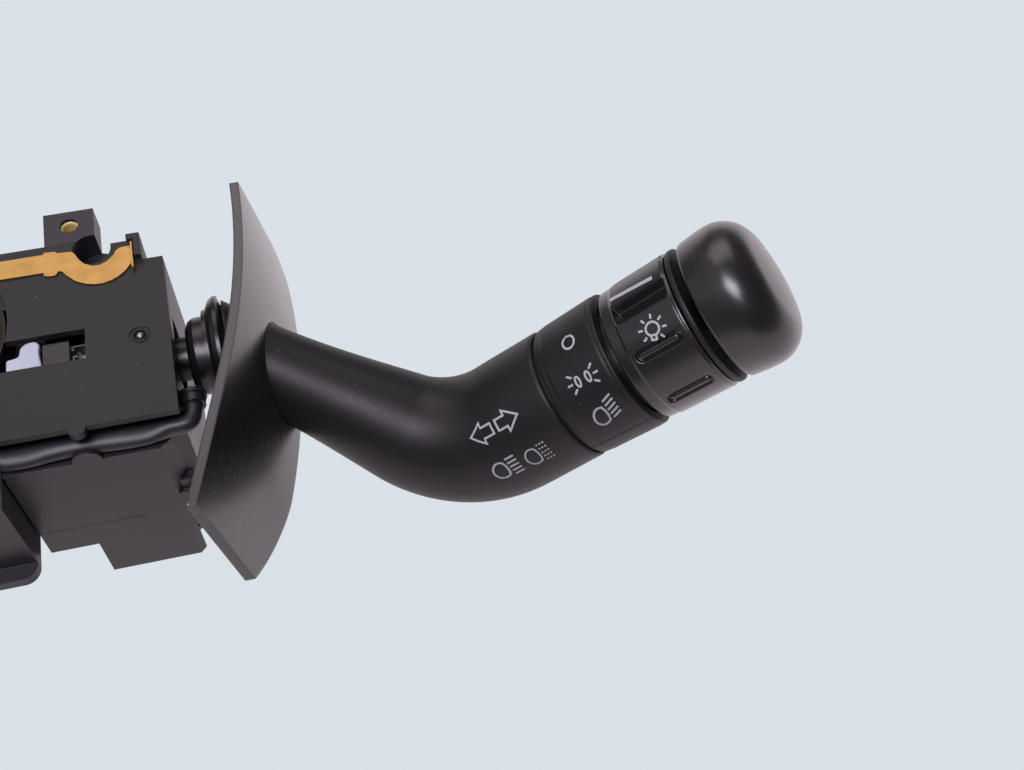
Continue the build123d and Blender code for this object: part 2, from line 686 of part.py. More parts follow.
def socket_terminals():
    blades = []
    mid_x = (SOCKET_LEFT + SOCKET_RIGHT) / 2
    mid_y = (SOCKET_FRONT + SOCKET_BACK) / 2
    top = SOCKET_BOTTOM + SOCKET_DEPTH
    for row in range(TERMINAL_ROWS):
        y = mid_y + (row - (TERMINAL_ROWS - 1) / 2) * TERMINAL_ROW_GAP
        for number in range(TERMINAL_COUNT):
            x = mid_x + (number - (TERMINAL_COUNT - 1) / 2) * TERMINAL_PITCH
            blade = block(
                x - TERMINAL_W / 2,
                x + TERMINAL_W / 2,
                y - TERMINAL_T / 2,
                y + TERMINAL_T / 2,
                top - TERMINAL_REACH,
                top,
            )
            blades.append(chamfer(blade.faces().sort_by(Axis.Z)[0].edges(), TERMINAL_T * 0.3))
    return Compound(children=blades)


def cable_sheath():
    route = [
        (SHEATH_LEFT_X, SHEATH_Y, SHEATH_Z),
        (SHEATH_X, SHEATH_Y, SHEATH_Z),
        (SHEATH_X, SHEATH_END_Y, SHEATH_Z),
    ]
    path = FilletPolyline(*route, radius=SHEATH_BEND_R)
    section = Plane(origin=route[0], z_dir=(1, 0, 0)) * Circle(SHEATH_R)
    return sweep(section, path=path)


def sheath_gland():
    back = SHEATH_END_Y + GLAND_RIM_L
    outer = SHEATH_R + GLAND_WALL
    gland = bar_y(SHEATH_END_Y - GLAND_L, back, SHEATH_X, SHEATH_Z, outer)
    gland += bar_y(SHEATH_END_Y, back, SHEATH_X, SHEATH_Z, outer + GLAND_RIM)
    gland -= bar_y(SHEATH_END_Y - GLAND_L - 1, SHEATH_END_Y, SHEATH_X, SHEATH_Z, SHEATH_R)
    return gland - block(BODY_RIGHT - 10, BODY_RIGHT, -60, 0, SHEATH_Z - 9, SHEATH_Z + 9)


save("connector_socket", connector_socket())
save("socket_terminals", socket_terminals())
save("cable_sheath", cable_sheath())
save("sheath_gland", sheath_gland())


# ---- column clamp -------------------------------------------------------------------------------
BAND_T = 1.5
BAND_H = 7.0
BAND_TOP = PARTING_Z - 1.5
BAND_EAR = 9.2
BAND_EAR_T = 2.0
BAND_MOUTH = 4.0
CLAMP_SCREW_R = 2.0


def clamp_band():
    inner = NECK_SLEEVE_R + RUN
    band = tube(inner + BAND_T, inner, BAND_TOP - BAND_H, BAND_TOP)
    mouth = BAND_MOUTH / 2
    for side in (-1, 1):
        y0, y1 = sorted((side * mouth, side * (mouth + BAND_EAR_T)))
        band += block(-inner - BAND_EAR, -inner - 0.3, y0, y1, BAND_TOP - BAND_H, BAND_TOP)
    band -= block(-inner - BAND_EAR - 1, -inner + 1, -mouth, mouth, BAND_TOP - BAND_H - 1, BAND_TOP + 1)
    x, z = clamp_screw_place()
    return band - bar_y(-20, 20, x, z, CLAMP_SCREW_R)


def clamp_screw_place():
    """Where the clamp's screw crosses the band's two ears, in X and Z."""
    return -NECK_SLEEVE_R - RUN - BAND_T - (BAND_EAR - BAND_T) / 2, BAND_TOP - BAND_H / 2


def clamp_screw():
    x, z = clamp_screw_place()
    outer = BAND_MOUTH / 2 + BAND_EAR_T
    shank = bar_y(-outer, outer + 5.0, x, z, CLAMP_SCREW_R)
    head = bar_y(-outer - 3.0, -outer, x, z, CLAMP_SCREW_R * 1.75)
    socket = Pos(x, -outer - 3.0, z) * Rot(90, 0, 0) * extrude(RegularPolygon(1.6, 6), 1.8, both=True)
    nut = Pos(x, outer, z) * Rot(-90, 0, 0) * extrude(RegularPolygon(CLAMP_SCREW_R * 1.9, 6), 3.2)
    return (head - socket) + shank + (nut - bar_y(outer - 1, outer + 6, x, z, CLAMP_SCREW_R * 0.9))


save("clamp_band", clamp_band())
save("clamp_screw", clamp_screw())


# ---- cancelling cam, slip ring and pawl ----------------------------------------------------------
CAM_TOP = COVER_UNDER - GAP
CAM_BOTTOM = RECESS_FLOOR + GAP
LUG_TOP = COVER_TOP + LUG_RISE


def cancel_cam():
    inner = SLEEVE_R + RUN
    cam = tube(CAM_R, inner, CAM_BOTTOM, CAM_TOP)
    for turn in (LOBE_DEG, LOBE_DEG + 180):
        wedge = slab(
            [
                (0, 0),
                (LOBE_R * 1.4, -LOBE_R * 1.4 * math.tan(math.radians(LOBE_HALF_DEG))),
                (LOBE_R * 1.4, LOBE_R * 1.4 * math.tan(math.radians(LOBE_HALF_DEG))),
            ],
            PAWL_LOW,
            CAM_TOP,
        )
        lobe = (wedge & tube(LOBE_R, CAM_R - 0.5, PAWL_LOW, CAM_TOP))
        cam += Rot(0, 0, turn) * lobe
    # two lugs that the steering wheel's hub drives
    for turn in (LOBE_DEG + 90, LOBE_DEG + 270):
        lug = tube(CAM_R - 0.3, inner + 0.3, CAM_TOP - 1, LUG_TOP)
        lug &= block(0, CAM_R + 1, -3, 3, CAM_TOP - 2, LUG_TOP + 1)
        cam += Rot(0, 0, turn) * lug
    return cam - slip_ring_seat()


def slip_ring_seat():
    """The space of the slip ring in the cam's upper face, broken where the drive lugs stand."""
    ring = tube(CAM_R - 0.5, SLEEVE_R + RUN + 0.5, CAM_TOP - SLIP_RING_T, CAM_TOP)
    for turn in (LOBE_DEG + 90, LOBE_DEG + 270):
        ring -= Rot(0, 0, turn) * block(0, CAM_R + 1, -3.3, 3.3, CAM_TOP - 2, CAM_TOP + 1)
    return ring


SLIP_RING_T = 0.6


def cancel_pawl():
    tip = slab(
        [
            (PAWL_TIP_X, PAWL_Y - PAWL_HALF),
            (PAWL_LEFT_END, PAWL_Y - PAWL_HALF),
            (PAWL_LEFT_END, PAWL_Y + PAWL_HALF),
            (PAWL_TIP_X + 4.6, PAWL_Y + PAWL_HALF),
            (PAWL_TIP_X + 3.2, PAWL_Y + 0.7 * PAWL_HALF),
            (PAWL_TIP_X + 3.2, PAWL_Y),
            (PAWL_TIP_X, PAWL_Y - 0.1 * PAWL_HALF),
        ],
        PAWL_LOW,
        PAWL_LOW + PAWL_T,
    )
    return fillet(tip.edges().filter_by(Axis.Z), 0.5)


SLIDER_END = PAWL_LEFT_END + 6.1
SLIDER_HALF = 2.9


def pawl_slider():
    low, high = PAWL_Y - SLIDER_HALF, PAWL_Y + SLIDER_HALF
    bar = block(PAWL_LEFT_END, SLIDER_END, low, high, PAWL_LOW, PAWL_LOW + SLIDER_T)
    return bar + bar_x(SLIDER_END, SLIDER_END + 1.4, PAWL_Y, PAWL_LOW + 1.5, 0.7)


def pawl_spring():
    """A small hairpin clip between the pawl's slider and the end of the window."""
    z0, z1 = PAWL_LOW + 0.4, PAWL_LOW + 2.8
    left = SLIDER_END + GAP
    right = WINDOW_RIGHT - 0.1
    clip = block(left, left + 0.4, PAWL_Y - 2.4, PAWL_Y - 1.0, z0, z1)
    clip += block(left, right, PAWL_Y - 2.4, PAWL_Y - 2.0, z0, z1)
    clip += block(right - 0.4, right, PAWL_Y - 2.4, PAWL_Y + 2.4, z0, COVER_UNDER)
    clip += block(left, right, PAWL_Y + 2.0, PAWL_Y + 2.4, z0, z1)
    clip += block(left, left + 0.4, PAWL_Y + 1.0, PAWL_Y + 2.4, z0, z1)
    return clip


save("cancel_cam", cancel_cam())
save("slip_ring", slip_ring_seat())
save("cancel_pawl", cancel_pawl())
save("pawl_slider", pawl_slider())
save("pawl_spring", pawl_spring())


# ---- carrier and its switches --------------------------------------------------------------------
PLATE_Z1 = COVER_UNDER - GAP
PLATE_Z0 = PLATE_Z1 - YOKE_PLATE_T
BASE_Z0 = FLOOR_TOP + GAP
BASE_Z1 = BASE_Z0 + YOKE_PLATE_T
DRIVE_PIN_BOTTOM = turn_slider_under + 1.2


def detent_places(radius):
    """The three detent notches, one for each way and one for the rest position."""
    places = []
    for turn in (-TURN_DEG, 0, TURN_DEG):
        angle = math.radians(180 + turn)
        places.append((PIN_X + radius * math.cos(angle), PIN_Y + radius * math.sin(angle)))
    return places


def lever_carrier():
    x0, x1 = PIN_X - YOKE_LEFT, PIN_X + YOKE_RIGHT
    y0, y1 = PIN_Y - YOKE_HALF, PIN_Y + YOKE_HALF
    yoke = block(x0, x1, y0, y1, PLATE_Z0, PLATE_Z1)
    yoke += block(x0, x1, y0, y0 + CHEEK_T, BASE_Z0, PLATE_Z1)
    yoke += block(x0, x1, y1 - CHEEK_T, y1, BASE_Z0, PLATE_Z1)
    yoke += block(x0, x1, y0, y1, BASE_Z0, BASE_Z1)
    yoke = fillet(yoke.edges().filter_by(Axis.Z).group_by(Axis.X)[0], 1.0)
    arm = block(PIN_X - ARM_R - 1, x0 + 1, PIN_Y - ARM_HALF, PIN_Y + ARM_HALF, BASE_Z0, BASE_Z1)
    yoke += arm & post(PIN_X, PIN_Y, BASE_Z0 - 1, BASE_Z1 + 1, ARM_R)
    for x, y in detent_places(ARM_R + DETENT_OUT):
        yoke -= post(x, y, BASE_Z0 - 1, BASE_Z1 + 1, DETENT_R)
    yoke += post(PIN_X, PIN_Y, FLOOR_UNDER + 0.2, BASE_Z0, STUB_R)
    yoke += post(PIN_X - DRIVE_PIN_OFFSET, PIN_Y, DRIVE_PIN_BOTTOM, BASE_Z0, DRIVE_PIN_R)
    yoke -= post(PIN_X, PIN_Y, PLATE_Z0 - 1, PLATE_Z1 + 1, PIN_R + RUN)
    yoke -= bar_y(y0 - 1, y1 + 1, PIN_X, LEVER_Z, BEAM_PIN_R)
    for side in (-1, 1):
        y = PIN_Y + side * POST_SPREAD
        yoke += post(PIN_X - TAIL_END, y, BASE_Z1 - 1, GUIDE_TOP, POST_R)
    return yoke


GUIDE_TOP = PAWL_LOW - 2 * GAP


def beam_pivot_pin():
    return bar_y(PIN_Y - YOKE_HALF, PIN_Y + YOKE_HALF, PIN_X, LEVER_Z, BEAM_PIN_R)


def detent_spring():
    """A leaf that stands in the chamber, with a crest that clicks into the arm's notches."""
    wall = CHAMBER_LEFT
    crest_x = PIN_X - ARM_R - DETENT_OUT
    crest_r = DETENT_R - 0.15
    z0, z1 = BASE_Z0 + 0.2, BASE_Z1 - 0.2
    leaf_x = crest_x - crest_r
    leaf = block(leaf_x, leaf_x + 0.5, PIN_Y - 9.0, PIN_Y + 9.0, z0, z1)
    leaf += post(crest_x, PIN_Y, z0, z1, crest_r)
    leaf -= post(crest_x, PIN_Y, z0 - 1, z1 + 1, crest_r - 0.45)
    leaf += block(wall, leaf_x + 0.5, PIN_Y - 9.0, PIN_Y - 8.5, z0, z1)
    leaf += block(wall, leaf_x + 0.5, PIN_Y + 8.5, PIN_Y + 9.0, z0, z1)
    return leaf


def turn_slider():
    x = PIN_X - DRIVE_PIN_OFFSET
    top = FLOOR_UNDER - GAP
    slider = block(
        x - TURN_SLIDER_HALF_X,
        x + TURN_SLIDER_HALF_X,
        PIN_Y - TURN_SLIDER_HALF_Y,
        PIN_Y + TURN_SLIDER_HALF_Y,
        turn_slider_under,
        top,
    )
    half_y = DRIVE_PIN_R + RUN
    slider -= block(x - DRIVE_PIN_R - 0.6, x + DRIVE_PIN_R + 0.6, PIN_Y - half_y, PIN_Y + half_y, turn_slider_under + 0.8, top + 1)
    return slider


def turn_contacts():
    x = PIN_X - DRIVE_PIN_OFFSET
    bridges = []
    for side in (-1, 1):
        bridge = block(x - 4.6, x + 4.6, PIN_Y + side * 4 - 1.2, PIN_Y + side * 4 + 1.2, turn_slider_under - 0.8, turn_slider_under)
        for end in (-1, 1):
            bridge += block(
                x + end * 3.6 - 0.8,
                x + end * 3.6 + 0.8,
                PIN_Y + side * 4 - 0.8,
                PIN_Y + side * 4 + 0.8,
                PLATE_TOP + CONTACT_T + GAP,
                turn_slider_under - 0.4,
            )
        bridges.append(bridge)
    return Compound(children=bridges)


def contact_plate():
    plate = block(PLATE_LEFT, PLATE_RIGHT, PLATE_FRONT, PLATE_BACK, PLATE_UNDER, PLATE_TOP)
    x = PIN_X - DRIVE_PIN_OFFSET
    for side in (-1, 1):
        edge = x + side * (TURN_SLIDER_HALF_X + GAP)
        x0, x1 = sorted((edge, edge + side * 1.4))
        plate += block(x0, x1, PIN_Y - 11, PIN_Y + 11, PLATE_TOP - 0.5, FLOOR_UNDER - 0.4)
    return plate


def fixed_contacts():
    x = PIN_X - DRIVE_PIN_OFFSET
    pads = []
    for side in (-1, 1):
        for end in (-1, 1):
            cx, cy = x + end * 3.6, PIN_Y + side * 4
            pads.append(block(cx - 1.5, cx + 1.5, cy - 3.6, cy + 3.6, PLATE_TOP, PLATE_TOP + CONTACT_T))
    return Compound(children=pads)


def beam_slider():
    x = PIN_X - TAIL_END
    half_y = POST_SPREAD + POST_R + 0.8
    slider = block(
        x - BEAM_SLIDER_W / 2,
        x + BEAM_SLIDER_W / 2,
        PIN_Y - half_y,
        PIN_Y + half_y,
        LEVER_Z - BEAM_SLIDER_H / 2,
        LEVER_Z + BEAM_SLIDER_H / 2 - 0.6,
    )
    for side in (-1, 1):
        y = PIN_Y + side * POST_SPREAD
        slider -= post(x, y, LEVER_Z - BEAM_SLIDER_H, LEVER_Z + BEAM_SLIDER_H, POST_R + RUN)
    slot_y = TAIL_BALL_R + 0.35
    slot_z = TAIL_BALL_R + RUN
    slider -= block(
        x - BEAM_SLIDER_W, x + BEAM_SLIDER_W, PIN_Y - slot_y, PIN_Y + slot_y, LEVER_Z - slot_z, LEVER_Z + slot_z
    )
    return slider


def beam_contact():
    """A copper wiper under the beam slider, between the two guide posts."""
    x = PIN_X - TAIL_END
    top = LEVER_Z - BEAM_SLIDER_H / 2
    wiper = block(x - 1.4, x + 1.4, PIN_Y - 2.4, PIN_Y + 2.4, top - 0.5, top)
    return wiper + block(x - 0.6, x + 0.6, PIN_Y - 0.6, PIN_Y + 0.6, top - 1.5, top - 0.5)


save("lever_carrier", lever_carrier())
save("beam_pivot_pin", beam_pivot_pin())
save("detent_spring", detent_spring())
save("turn_slider", turn_slider())
save("turn_contacts", turn_contacts())
save("contact_plate", contact_plate())
save("fixed_contacts", fixed_contacts())
save("beam_slider", beam_slider())
save("beam_contact", beam_contact())


# ---- lever core and its collars, turned about the lever's axis -------------------------------------
def on_lever(shape):
    """Turn a shape made about Z, with heights from the pivot, on to the lever's axis."""
    return Pos(PIN_X, PIN_Y, LEVER_Z) * Rot(0, 90, 0) * shape


def lever_core():
    barrel = on_lever(post(0, 0, -CORE_BACK, NECK_END, NECK_R))
    side = YOKE_HALF - CHEEK_T - RUN * 4
    barrel += bar_y(PIN_Y - side, PIN_Y + side, PIN_X, LEVER_Z, NECK_R - 1.2)
    barrel += on_lever(post(0, 0, -TAIL_END, -CORE_BACK, TAIL_R))
    barrel += Pos(PIN_X - TAIL_END, PIN_Y, LEVER_Z) * Sphere(TAIL_BALL_R)
    barrel += on_lever(post(0, 0, NECK_END, STALK_ROOT + 1.5, ROD_R))
    plug_r = STALK_ROOT_R - STALK_WALL - PLUG_CLEAR
    plug = Plane(origin=root, z_dir=inner_axis).location * post(0, 0, -ROOT_EXTRA, PLUG_L, plug_r)
    barrel += plug - behind_root()
    barrel -= bar_y(PIN_Y - side - 1, PIN_Y + side + 1, PIN_X, LEVER_Z, BEAM_PIN_R + RUN)
    return barrel


def behind_root():
    """Everything on the pivot's side of the stalk's seat on the shield's hub."""
    return on_lever(post(0, 0, 0, HUB_DISC_END, 60))


def lever_collar():
    return on_lever(
        turned(
            [
                (ROD_R, NECK_END),
                (COLLAR_R - 2.2, NECK_END),
                (COLLAR_R - 0.8, NECK_END + 0.8),
                (COLLAR_R - 0.1, NECK_END + 2.0),
                (COLLAR_R, NECK_END + 3.2),
                (COLLAR_R, COLLAR_END),
                (ROD_R, COLLAR_END),
            ]
        )
    )


def collar_fin():
    return on_lever(post(0, 0, COLLAR_END, COLLAR_END + FIN_T, FIN_R) - post(0, 0, 0, 30, ROD_R))


def shield_hub():
    start = COLLAR_END + FIN_T
    return on_lever(
        turned(
            [
                (ROD_R, start),
                (HUB_DISC_R - 2.4, start),
                (HUB_DISC_R - 0.8, start + 0.9),
                (HUB_DISC_R, start + 2.0),
                (HUB_DISC_R, start + 2.9),
                (STALK_ROOT_R, HUB_DISC_END),
                (ROD_R, HUB_DISC_END),
            ]
        )
    )


# ---- stalk: two half shells along one bend ----------------------------------------------------------
stalk_path = FilletPolyline(stalk_start, elbow, ring_foot, radius=BEND_R)


def stalk_radius(along):
    """Outer radius at a share of the stalk's length: slim, a smooth swell, then full."""
    swell = min(max((along - SWELL_FROM) / (SWELL_TO - SWELL_FROM), 0), 1)
    return STALK_ROOT_R + (STALK_END_R - STALK_ROOT_R) * swell * swell * (3 - 2 * swell)


SECTION_COUNT = 11


def stalk_solid(inset):
    """The stalk's outside, or its hollow when inset by the wall."""
    faces = []
    for number in range(SECTION_COUNT):
        along = number / (SECTION_COUNT - 1)
        plane = Plane(origin=stalk_path @ along, x_dir=bend_normal, z_dir=stalk_path % along)
        faces.append(plane * Circle(stalk_radius(along) - inset))
    return loft(faces)


SCREW_PLACES = (0.4, 0.7)
BOSS_R = 3.2
STALK_SCREW_R = 1.2
STALK_SCREW_HEAD_R = 2.4
BOSS_WALL = 4.0


def across(along):
    """The location on the stalk's path whose Z axis crosses the parting plane towards the driver."""
    return Plane(origin=stalk_path @ along, x_dir=stalk_path % along, z_dir=bend_normal).location


def stalk_shell(front):
    outer = stalk_solid(0)
    shell = outer - stalk_solid(STALK_WALL)
    for along in SCREW_PLACES:
        place = across(along)
        reach = stalk_radius(along) + 2
        shell += (place * post(0, 0, -reach, reach, BOSS_R)) & outer
        shell -= place * post(0, 0, -reach, -BOSS_WALL, STALK_SCREW_HEAD_R + 0.2)
        shell -= place * post(0, 0, -reach, BOSS_WALL * 2, STALK_SCREW_R)
    shell -= behind_root()
    half = Plane(origin=root, z_dir=bend_normal)
    return split(shell, bisect_by=half, keep=Keep.TOP if front else Keep.BOTTOM)


def stalk_screws():
    screws = []
    for along in SCREW_PLACES:
        screw = post(0, 0, -BOSS_WALL - 1.8, -BOSS_WALL, STALK_SCREW_HEAD_R)
        screw -= Pos(0, 0, -BOSS_WALL - 1.8) * Box(3.0, 0.7, 1.6)
        screw -= Pos(0, 0, -BOSS_WALL - 1.8) * Box(0.7, 3.0, 1.6)
        screw += post(0, 0, -BOSS_WALL, BOSS_WALL * 2 - 0.5, STALK_SCREW_R)
        screws.append(across(along) * screw)
    return Compound(children=screws)


save("lever_core", lever_core())
save("lever_collar", lever_collar())
save("collar_fin", collar_fin())
save("shield_hub", shield_hub())
save("stalk_front_shell", stalk_shell(True))
save("stalk_rear_shell", stalk_shell(False))
save("stalk_screws", stalk_screws())


# ---- shield -----------------------------------------------------------------------------------------
def shield_section(crest_x, crest_y, slope, height):
    """The plate's cut across Z: an arc that runs out into a straight tangent."""
    turn = math.radians(slope)
    centre = pivot + Vector(crest_x - SHIELD_ARC_R, crest_y, height)
    over = math.asin((SHIELD_TOP_Y + 6 - crest_y) / SHIELD_ARC_R)

    def rim(radius, angle):
        return centre + Vector(radius * math.cos(angle), radius * math.sin(angle), 0)

    def edge(radius):
        last = rim(radius, -turn)
        drop = last.Y - (pivot.Y + SHIELD_BOTTOM_Y - 8)
        foot = last + Vector(-drop * math.tan(turn), -drop, 0)
        arc = ThreePointArc(rim(radius, over), rim(radius, (over - turn) / 2), last)
        return arc, last, foot

    outer_arc, outer_last, outer_foot = edge(SHIELD_ARC_R)
    inner_arc, inner_last, inner_foot = edge(SHIELD_ARC_R - SHIELD_T)
    lines = [
        outer_arc,
        Line(outer_last, outer_foot),
        Line(outer_foot, inner_foot),
        Line(inner_foot, inner_last),
        inner_arc,
        Line(rim(SHIELD_ARC_R - SHIELD_T, over), rim(SHIELD_ARC_R, over)),
    ]
    return make_face(Wire([line.edge() for line in lines]))


def shield_plate():
    near = shield_section(SHIELD_NEAR_X, SHIELD_NEAR_CREST_Y, SHIELD_NEAR_SLOPE, SHIELD_NEAR_Z)
    far = shield_section(SHIELD_FAR_X, SHIELD_FAR_CREST_Y, SHIELD_FAR_SLOPE, SHIELD_FAR_Z)
    plate = loft([far, near], ruled=True)
    near_z = SHIELD_NEAR_Z - 0.01
    far_z = SHIELD_FAR_Z + 0.01
    tip = Vector(SHIELD_BOTTOM_Y, SHIELD_FAR_Z + SHIELD_CUT_Z)
    cut_end = Vector(SHIELD_BOTTOM_Y + SHIELD_CUT_Y, far_z)
    chord = cut_end - tip
    outward = Vector(chord.Y, -chord.X).normalized()
    bow = (tip + cut_end) / 2 + outward * SHIELD_CUT_BOW
    near_top, near_bottom = (SHIELD_TOP_Y, near_z), (SHIELD_NEAR_BOTTOM_Y, near_z)
    straight = Polyline(cut_end, (SHIELD_FAR_TOP_Y, far_z), near_top, near_bottom, tip)
    face = make_face(Wire(straight.edges() + ThreePointArc(tip, bow, cut_end).edges()))
    face = fillet(face.vertices().sort_by(Axis.X)[-1:], SHIELD_CORNER_R)
    side = Plane(origin=(PIN_X, PIN_Y, LEVER_Z), x_dir=(0, 1, 0), z_dir=(1, 0, 0))
    plate &= extrude(side * face, 60)
    return plate - stalk_solid(-SHIELD_HOLE_CLEAR)


save("shield_plate", shield_plate())


# ---- grip: everything here is made about Z from the stalk's end and then set on the grip's axis -----
WEB_START = RING_START + 2.0
WEB_END = WEB_START + 2.4
STATOR_START = RING_END - 6.0
STATOR_END = STATOR_START + 1.6
ROTOR_START = STATOR_END + GAP
SKIRT_R = STALK_END_R - RING_WALL - GAP
BORE_GRIP_R = SPINDLE_R - SPINDLE_WALL
SPINDLE_START = -6.0
SHOULDER_Z = RING_END + 3.0
GUIDE_START = SHOULDER_Z + 6.0
GUIDE_END = LIP_END - 0.5
STEM_START = CAP_END - CAP_WALL - STEM_L
SPRING_WIRE_R = 0.5
SPRING_R = 4.6
SPRING_TURNS = 5


def on_grip(shape):
    return grip * shape


def rims(shape, radius):
    """The shape's circular edges of one radius, in order along Z."""
    circles = shape.edges().filter_by(GeomType.CIRCLE)
    return circles.filter_by(lambda edge: abs(edge.radius - radius) < 0.01).sort_by(Axis.Z)


def spacer_ring():
    return on_grip(tube(STALK_END_R - SPACER_IN, STALK_END_R - STALK_WALL - 0.6, 0, SPACER_T))


def marking_ring():
    ring = tube(STALK_END_R, STALK_END_R - RING_WALL, RING_START, RING_END)
    ring += tube(STALK_END_R - 0.5, SPINDLE_R, WEB_START, WEB_END)
    return on_grip(chamfer(rims(ring, STALK_END_R), 0.4))


def knob_spindle():
    body = tube(SPINDLE_R, BORE_GRIP_R - 1.6, SPINDLE_START, LIP_END)
    body -= post(0, 0, SHOULDER_Z, LIP_END + 1, BORE_GRIP_R)
    return on_grip(body)


def light_stator():
    disc = tube(SKIRT_R - 1.8, SPINDLE_R, STATOR_START, STATOR_END)
    for angle in range(0, 360, 120):
        disc -= Rot(0, 0, angle) * post(SKIRT_R - 3.4, 0, STATOR_START - 1, STATOR_END + 1, 1.0)
    return on_grip(disc)


def light_rotor():
    body = tube(SKIRT_R - 2.4, SPINDLE_R + GAP, ROTOR_START + 0.7, KNOB_START - 0.4)
    for angle in range(0, 360, 120):
        nub = post(SPINDLE_R + 1.6, 0, ROTOR_START, ROTOR_START + 1.0, 0.8)
        body += Rot(0, 0, angle) * nub
    return on_grip(body)


def light_knob():
    web_z = KNOB_END - 3.0
    knob = tube(KNOB_R, KNOB_R - KNOB_WALL, KNOB_START, KNOB_END)
    knob += tube(KNOB_R - 1, SPINDLE_R + RUN, web_z, KNOB_END)
    knob += tube(SKIRT_R, SKIRT_R - 2.0, RING_END - 2.0, KNOB_START + 1.2)
    knob += tube(KNOB_R - 1, SKIRT_R - 2.4, KNOB_START, KNOB_START + 1.4)
    knob += tube(SKIRT_R - 1.9, SPINDLE_R + RUN, KNOB_START - 0.4, KNOB_START + 1.2)
    # the pointer's rib and the scoops that set it off
    rib_top = KNOB_R + RIB_H
    turn = KNOB_FIRST_DEG
    for side in (-1, 1):
        scoop_turn = turn + side * math.degrees((RIB_W / 2 + SCOOP_R * 0.52) / KNOB_R)
        scoop = post(KNOB_R - SCOOP_DEPTH + SCOOP_R, 0, KNOB_START + 1.6, KNOB_END - 1.2, SCOOP_R)
        knob -= Rot(0, 0, scoop_turn) * scoop
    rib = block(KNOB_R - KNOB_WALL + 0.2, rib_top, -RIB_W / 2, RIB_W / 2, KNOB_START + 0.4, KNOB_END - 0.3)
    rib = fillet(rib.edges().filter_by(Axis.Z).sort_by(Axis.X)[-2:], 1.0)
    knob += Rot(0, 0, turn) * rib
    # grip pockets, each with a ridge along its middle
    mid_z = (KNOB_START + KNOB_END) / 2 + 0.8
    for number in range(1, POCKET_COUNT):
        place = Rot(0, 0, turn + number * 360 / POCKET_COUNT) * Pos(KNOB_R, 0, mid_z)
        pocket = pill(POCKET_L, POCKET_W, POCKET_D)
        ridge = pill(POCKET_L - 1.6, RIDGE_W, RIDGE_H + POCKET_D)
        knob -= place * Pos(-POCKET_D / 2, 0, 0) * pocket
        knob += place * Pos(-POCKET_D / 2 - 0.2, 0, 0) * ridge
    return on_grip(knob)


def pill(length, width, depth):
    """A round-ended bar along Z, as deep as stated along X and centred."""
    face = SlotOverall(length, width)
    return Rot(0, 90, 0) * extrude(face, depth, both=True)


def end_collar():
    start = KNOB_END + GAP
    ring = tube(LIP_RING_R, SPINDLE_R, start, LIP_END)
    return on_grip(chamfer(rims(ring, LIP_RING_R), 0.4))


def cap_form(inset):
    """The cap's outside, or its hollow when inset: a drum under a shallow dome, well rounded."""
    top = CAP_END - inset
    drum = post(0, 0, CAP_START - inset, top + 1, CAP_R - inset)
    drum &= Pos(0, 0, top - CAP_DOME_R) * Sphere(CAP_DOME_R)
    return fillet(rims(drum, CAP_R - inset)[-1:], CAP_ROUND - inset)


def end_cap():
    outer = cap_form(0)
    outer = chamfer(rims(outer, CAP_R)[:1], CAP_FOOT_CHAMFER)
    return on_grip(outer - cap_form(CAP_WALL))


def cap_stem():
    stem = post(0, 0, STEM_START, CAP_END - CAP_WALL - 0.1, STEM_R)
    stem += tube(SPRING_R + 2.0, STEM_R - 0.5, CAP_END - CAP_WALL - 3.4, CAP_END - CAP_WALL - 1.4)
    return on_grip(stem)


def cap_guide():
    guide = tube(BORE_GRIP_R, STEM_R + RUN, GUIDE_START, GUIDE_END)
    return on_grip(guide)


def cap_spring():
    """A coil between the guide and the collar on the cap's stem."""
    start = GUIDE_END + SPRING_WIRE_R
    end = CAP_END - CAP_WALL - 3.4 - SPRING_WIRE_R
    coil = Helix(pitch=(end - start) / SPRING_TURNS, height=end - start, radius=SPRING_R)
    section = Plane(origin=coil @ 0, z_dir=coil % 0) * Circle(SPRING_WIRE_R)
    wire = sweep(section, path=coil, is_frenet=True)
    return on_grip(Pos(0, 0, start) * wire)


def cap_contact():
    disc = post(0, 0, SHOULDER_Z, SHOULDER_Z + 1.6, BORE_GRIP_R)
    disc += post(0, 0, SHOULDER_Z + 1.6, STEM_START - CAP_TRAVEL - GAP, 1.6)
    return on_grip(disc)


def knob_detent_spring():
    """A leaf on the marking ring's web whose crest bears on the knob's skirt."""
    leaf = tube(SKIRT_R - 0.4, SKIRT_R - 1.4, WEB_END, RING_END - 2.0 - 0.2)
    leaf &= block(0, 20, -2.0, 2.0, WEB_END - 1, RING_END)
    return on_grip(Rot(0, 0, 180) * leaf)


save("spacer_ring", spacer_ring())
save("marking_ring", marking_ring())
save("knob_spindle", knob_spindle())
save("light_stator", light_stator())
save("light_rotor", light_rotor())
save("light_knob", light_knob())
save("end_collar", end_collar())
save("end_cap", end_cap())
save("cap_stem", cap_stem())
save("cap_guide", cap_guide())
save("cap_spring", cap_spring())
save("cap_contact", cap_contact())
save("knob_detent_spring", knob_detent_spring())
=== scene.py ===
"""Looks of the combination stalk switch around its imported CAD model.

Lengths are in millimetres, as in the part's own source, until a mesh is made: MM turns them into
metres. The stalk and the grip are described by the pivot, the knob's axis and a few radii.
"""

import json
import math

import bpy
import numpy as np
from mathutils import Matrix, Vector


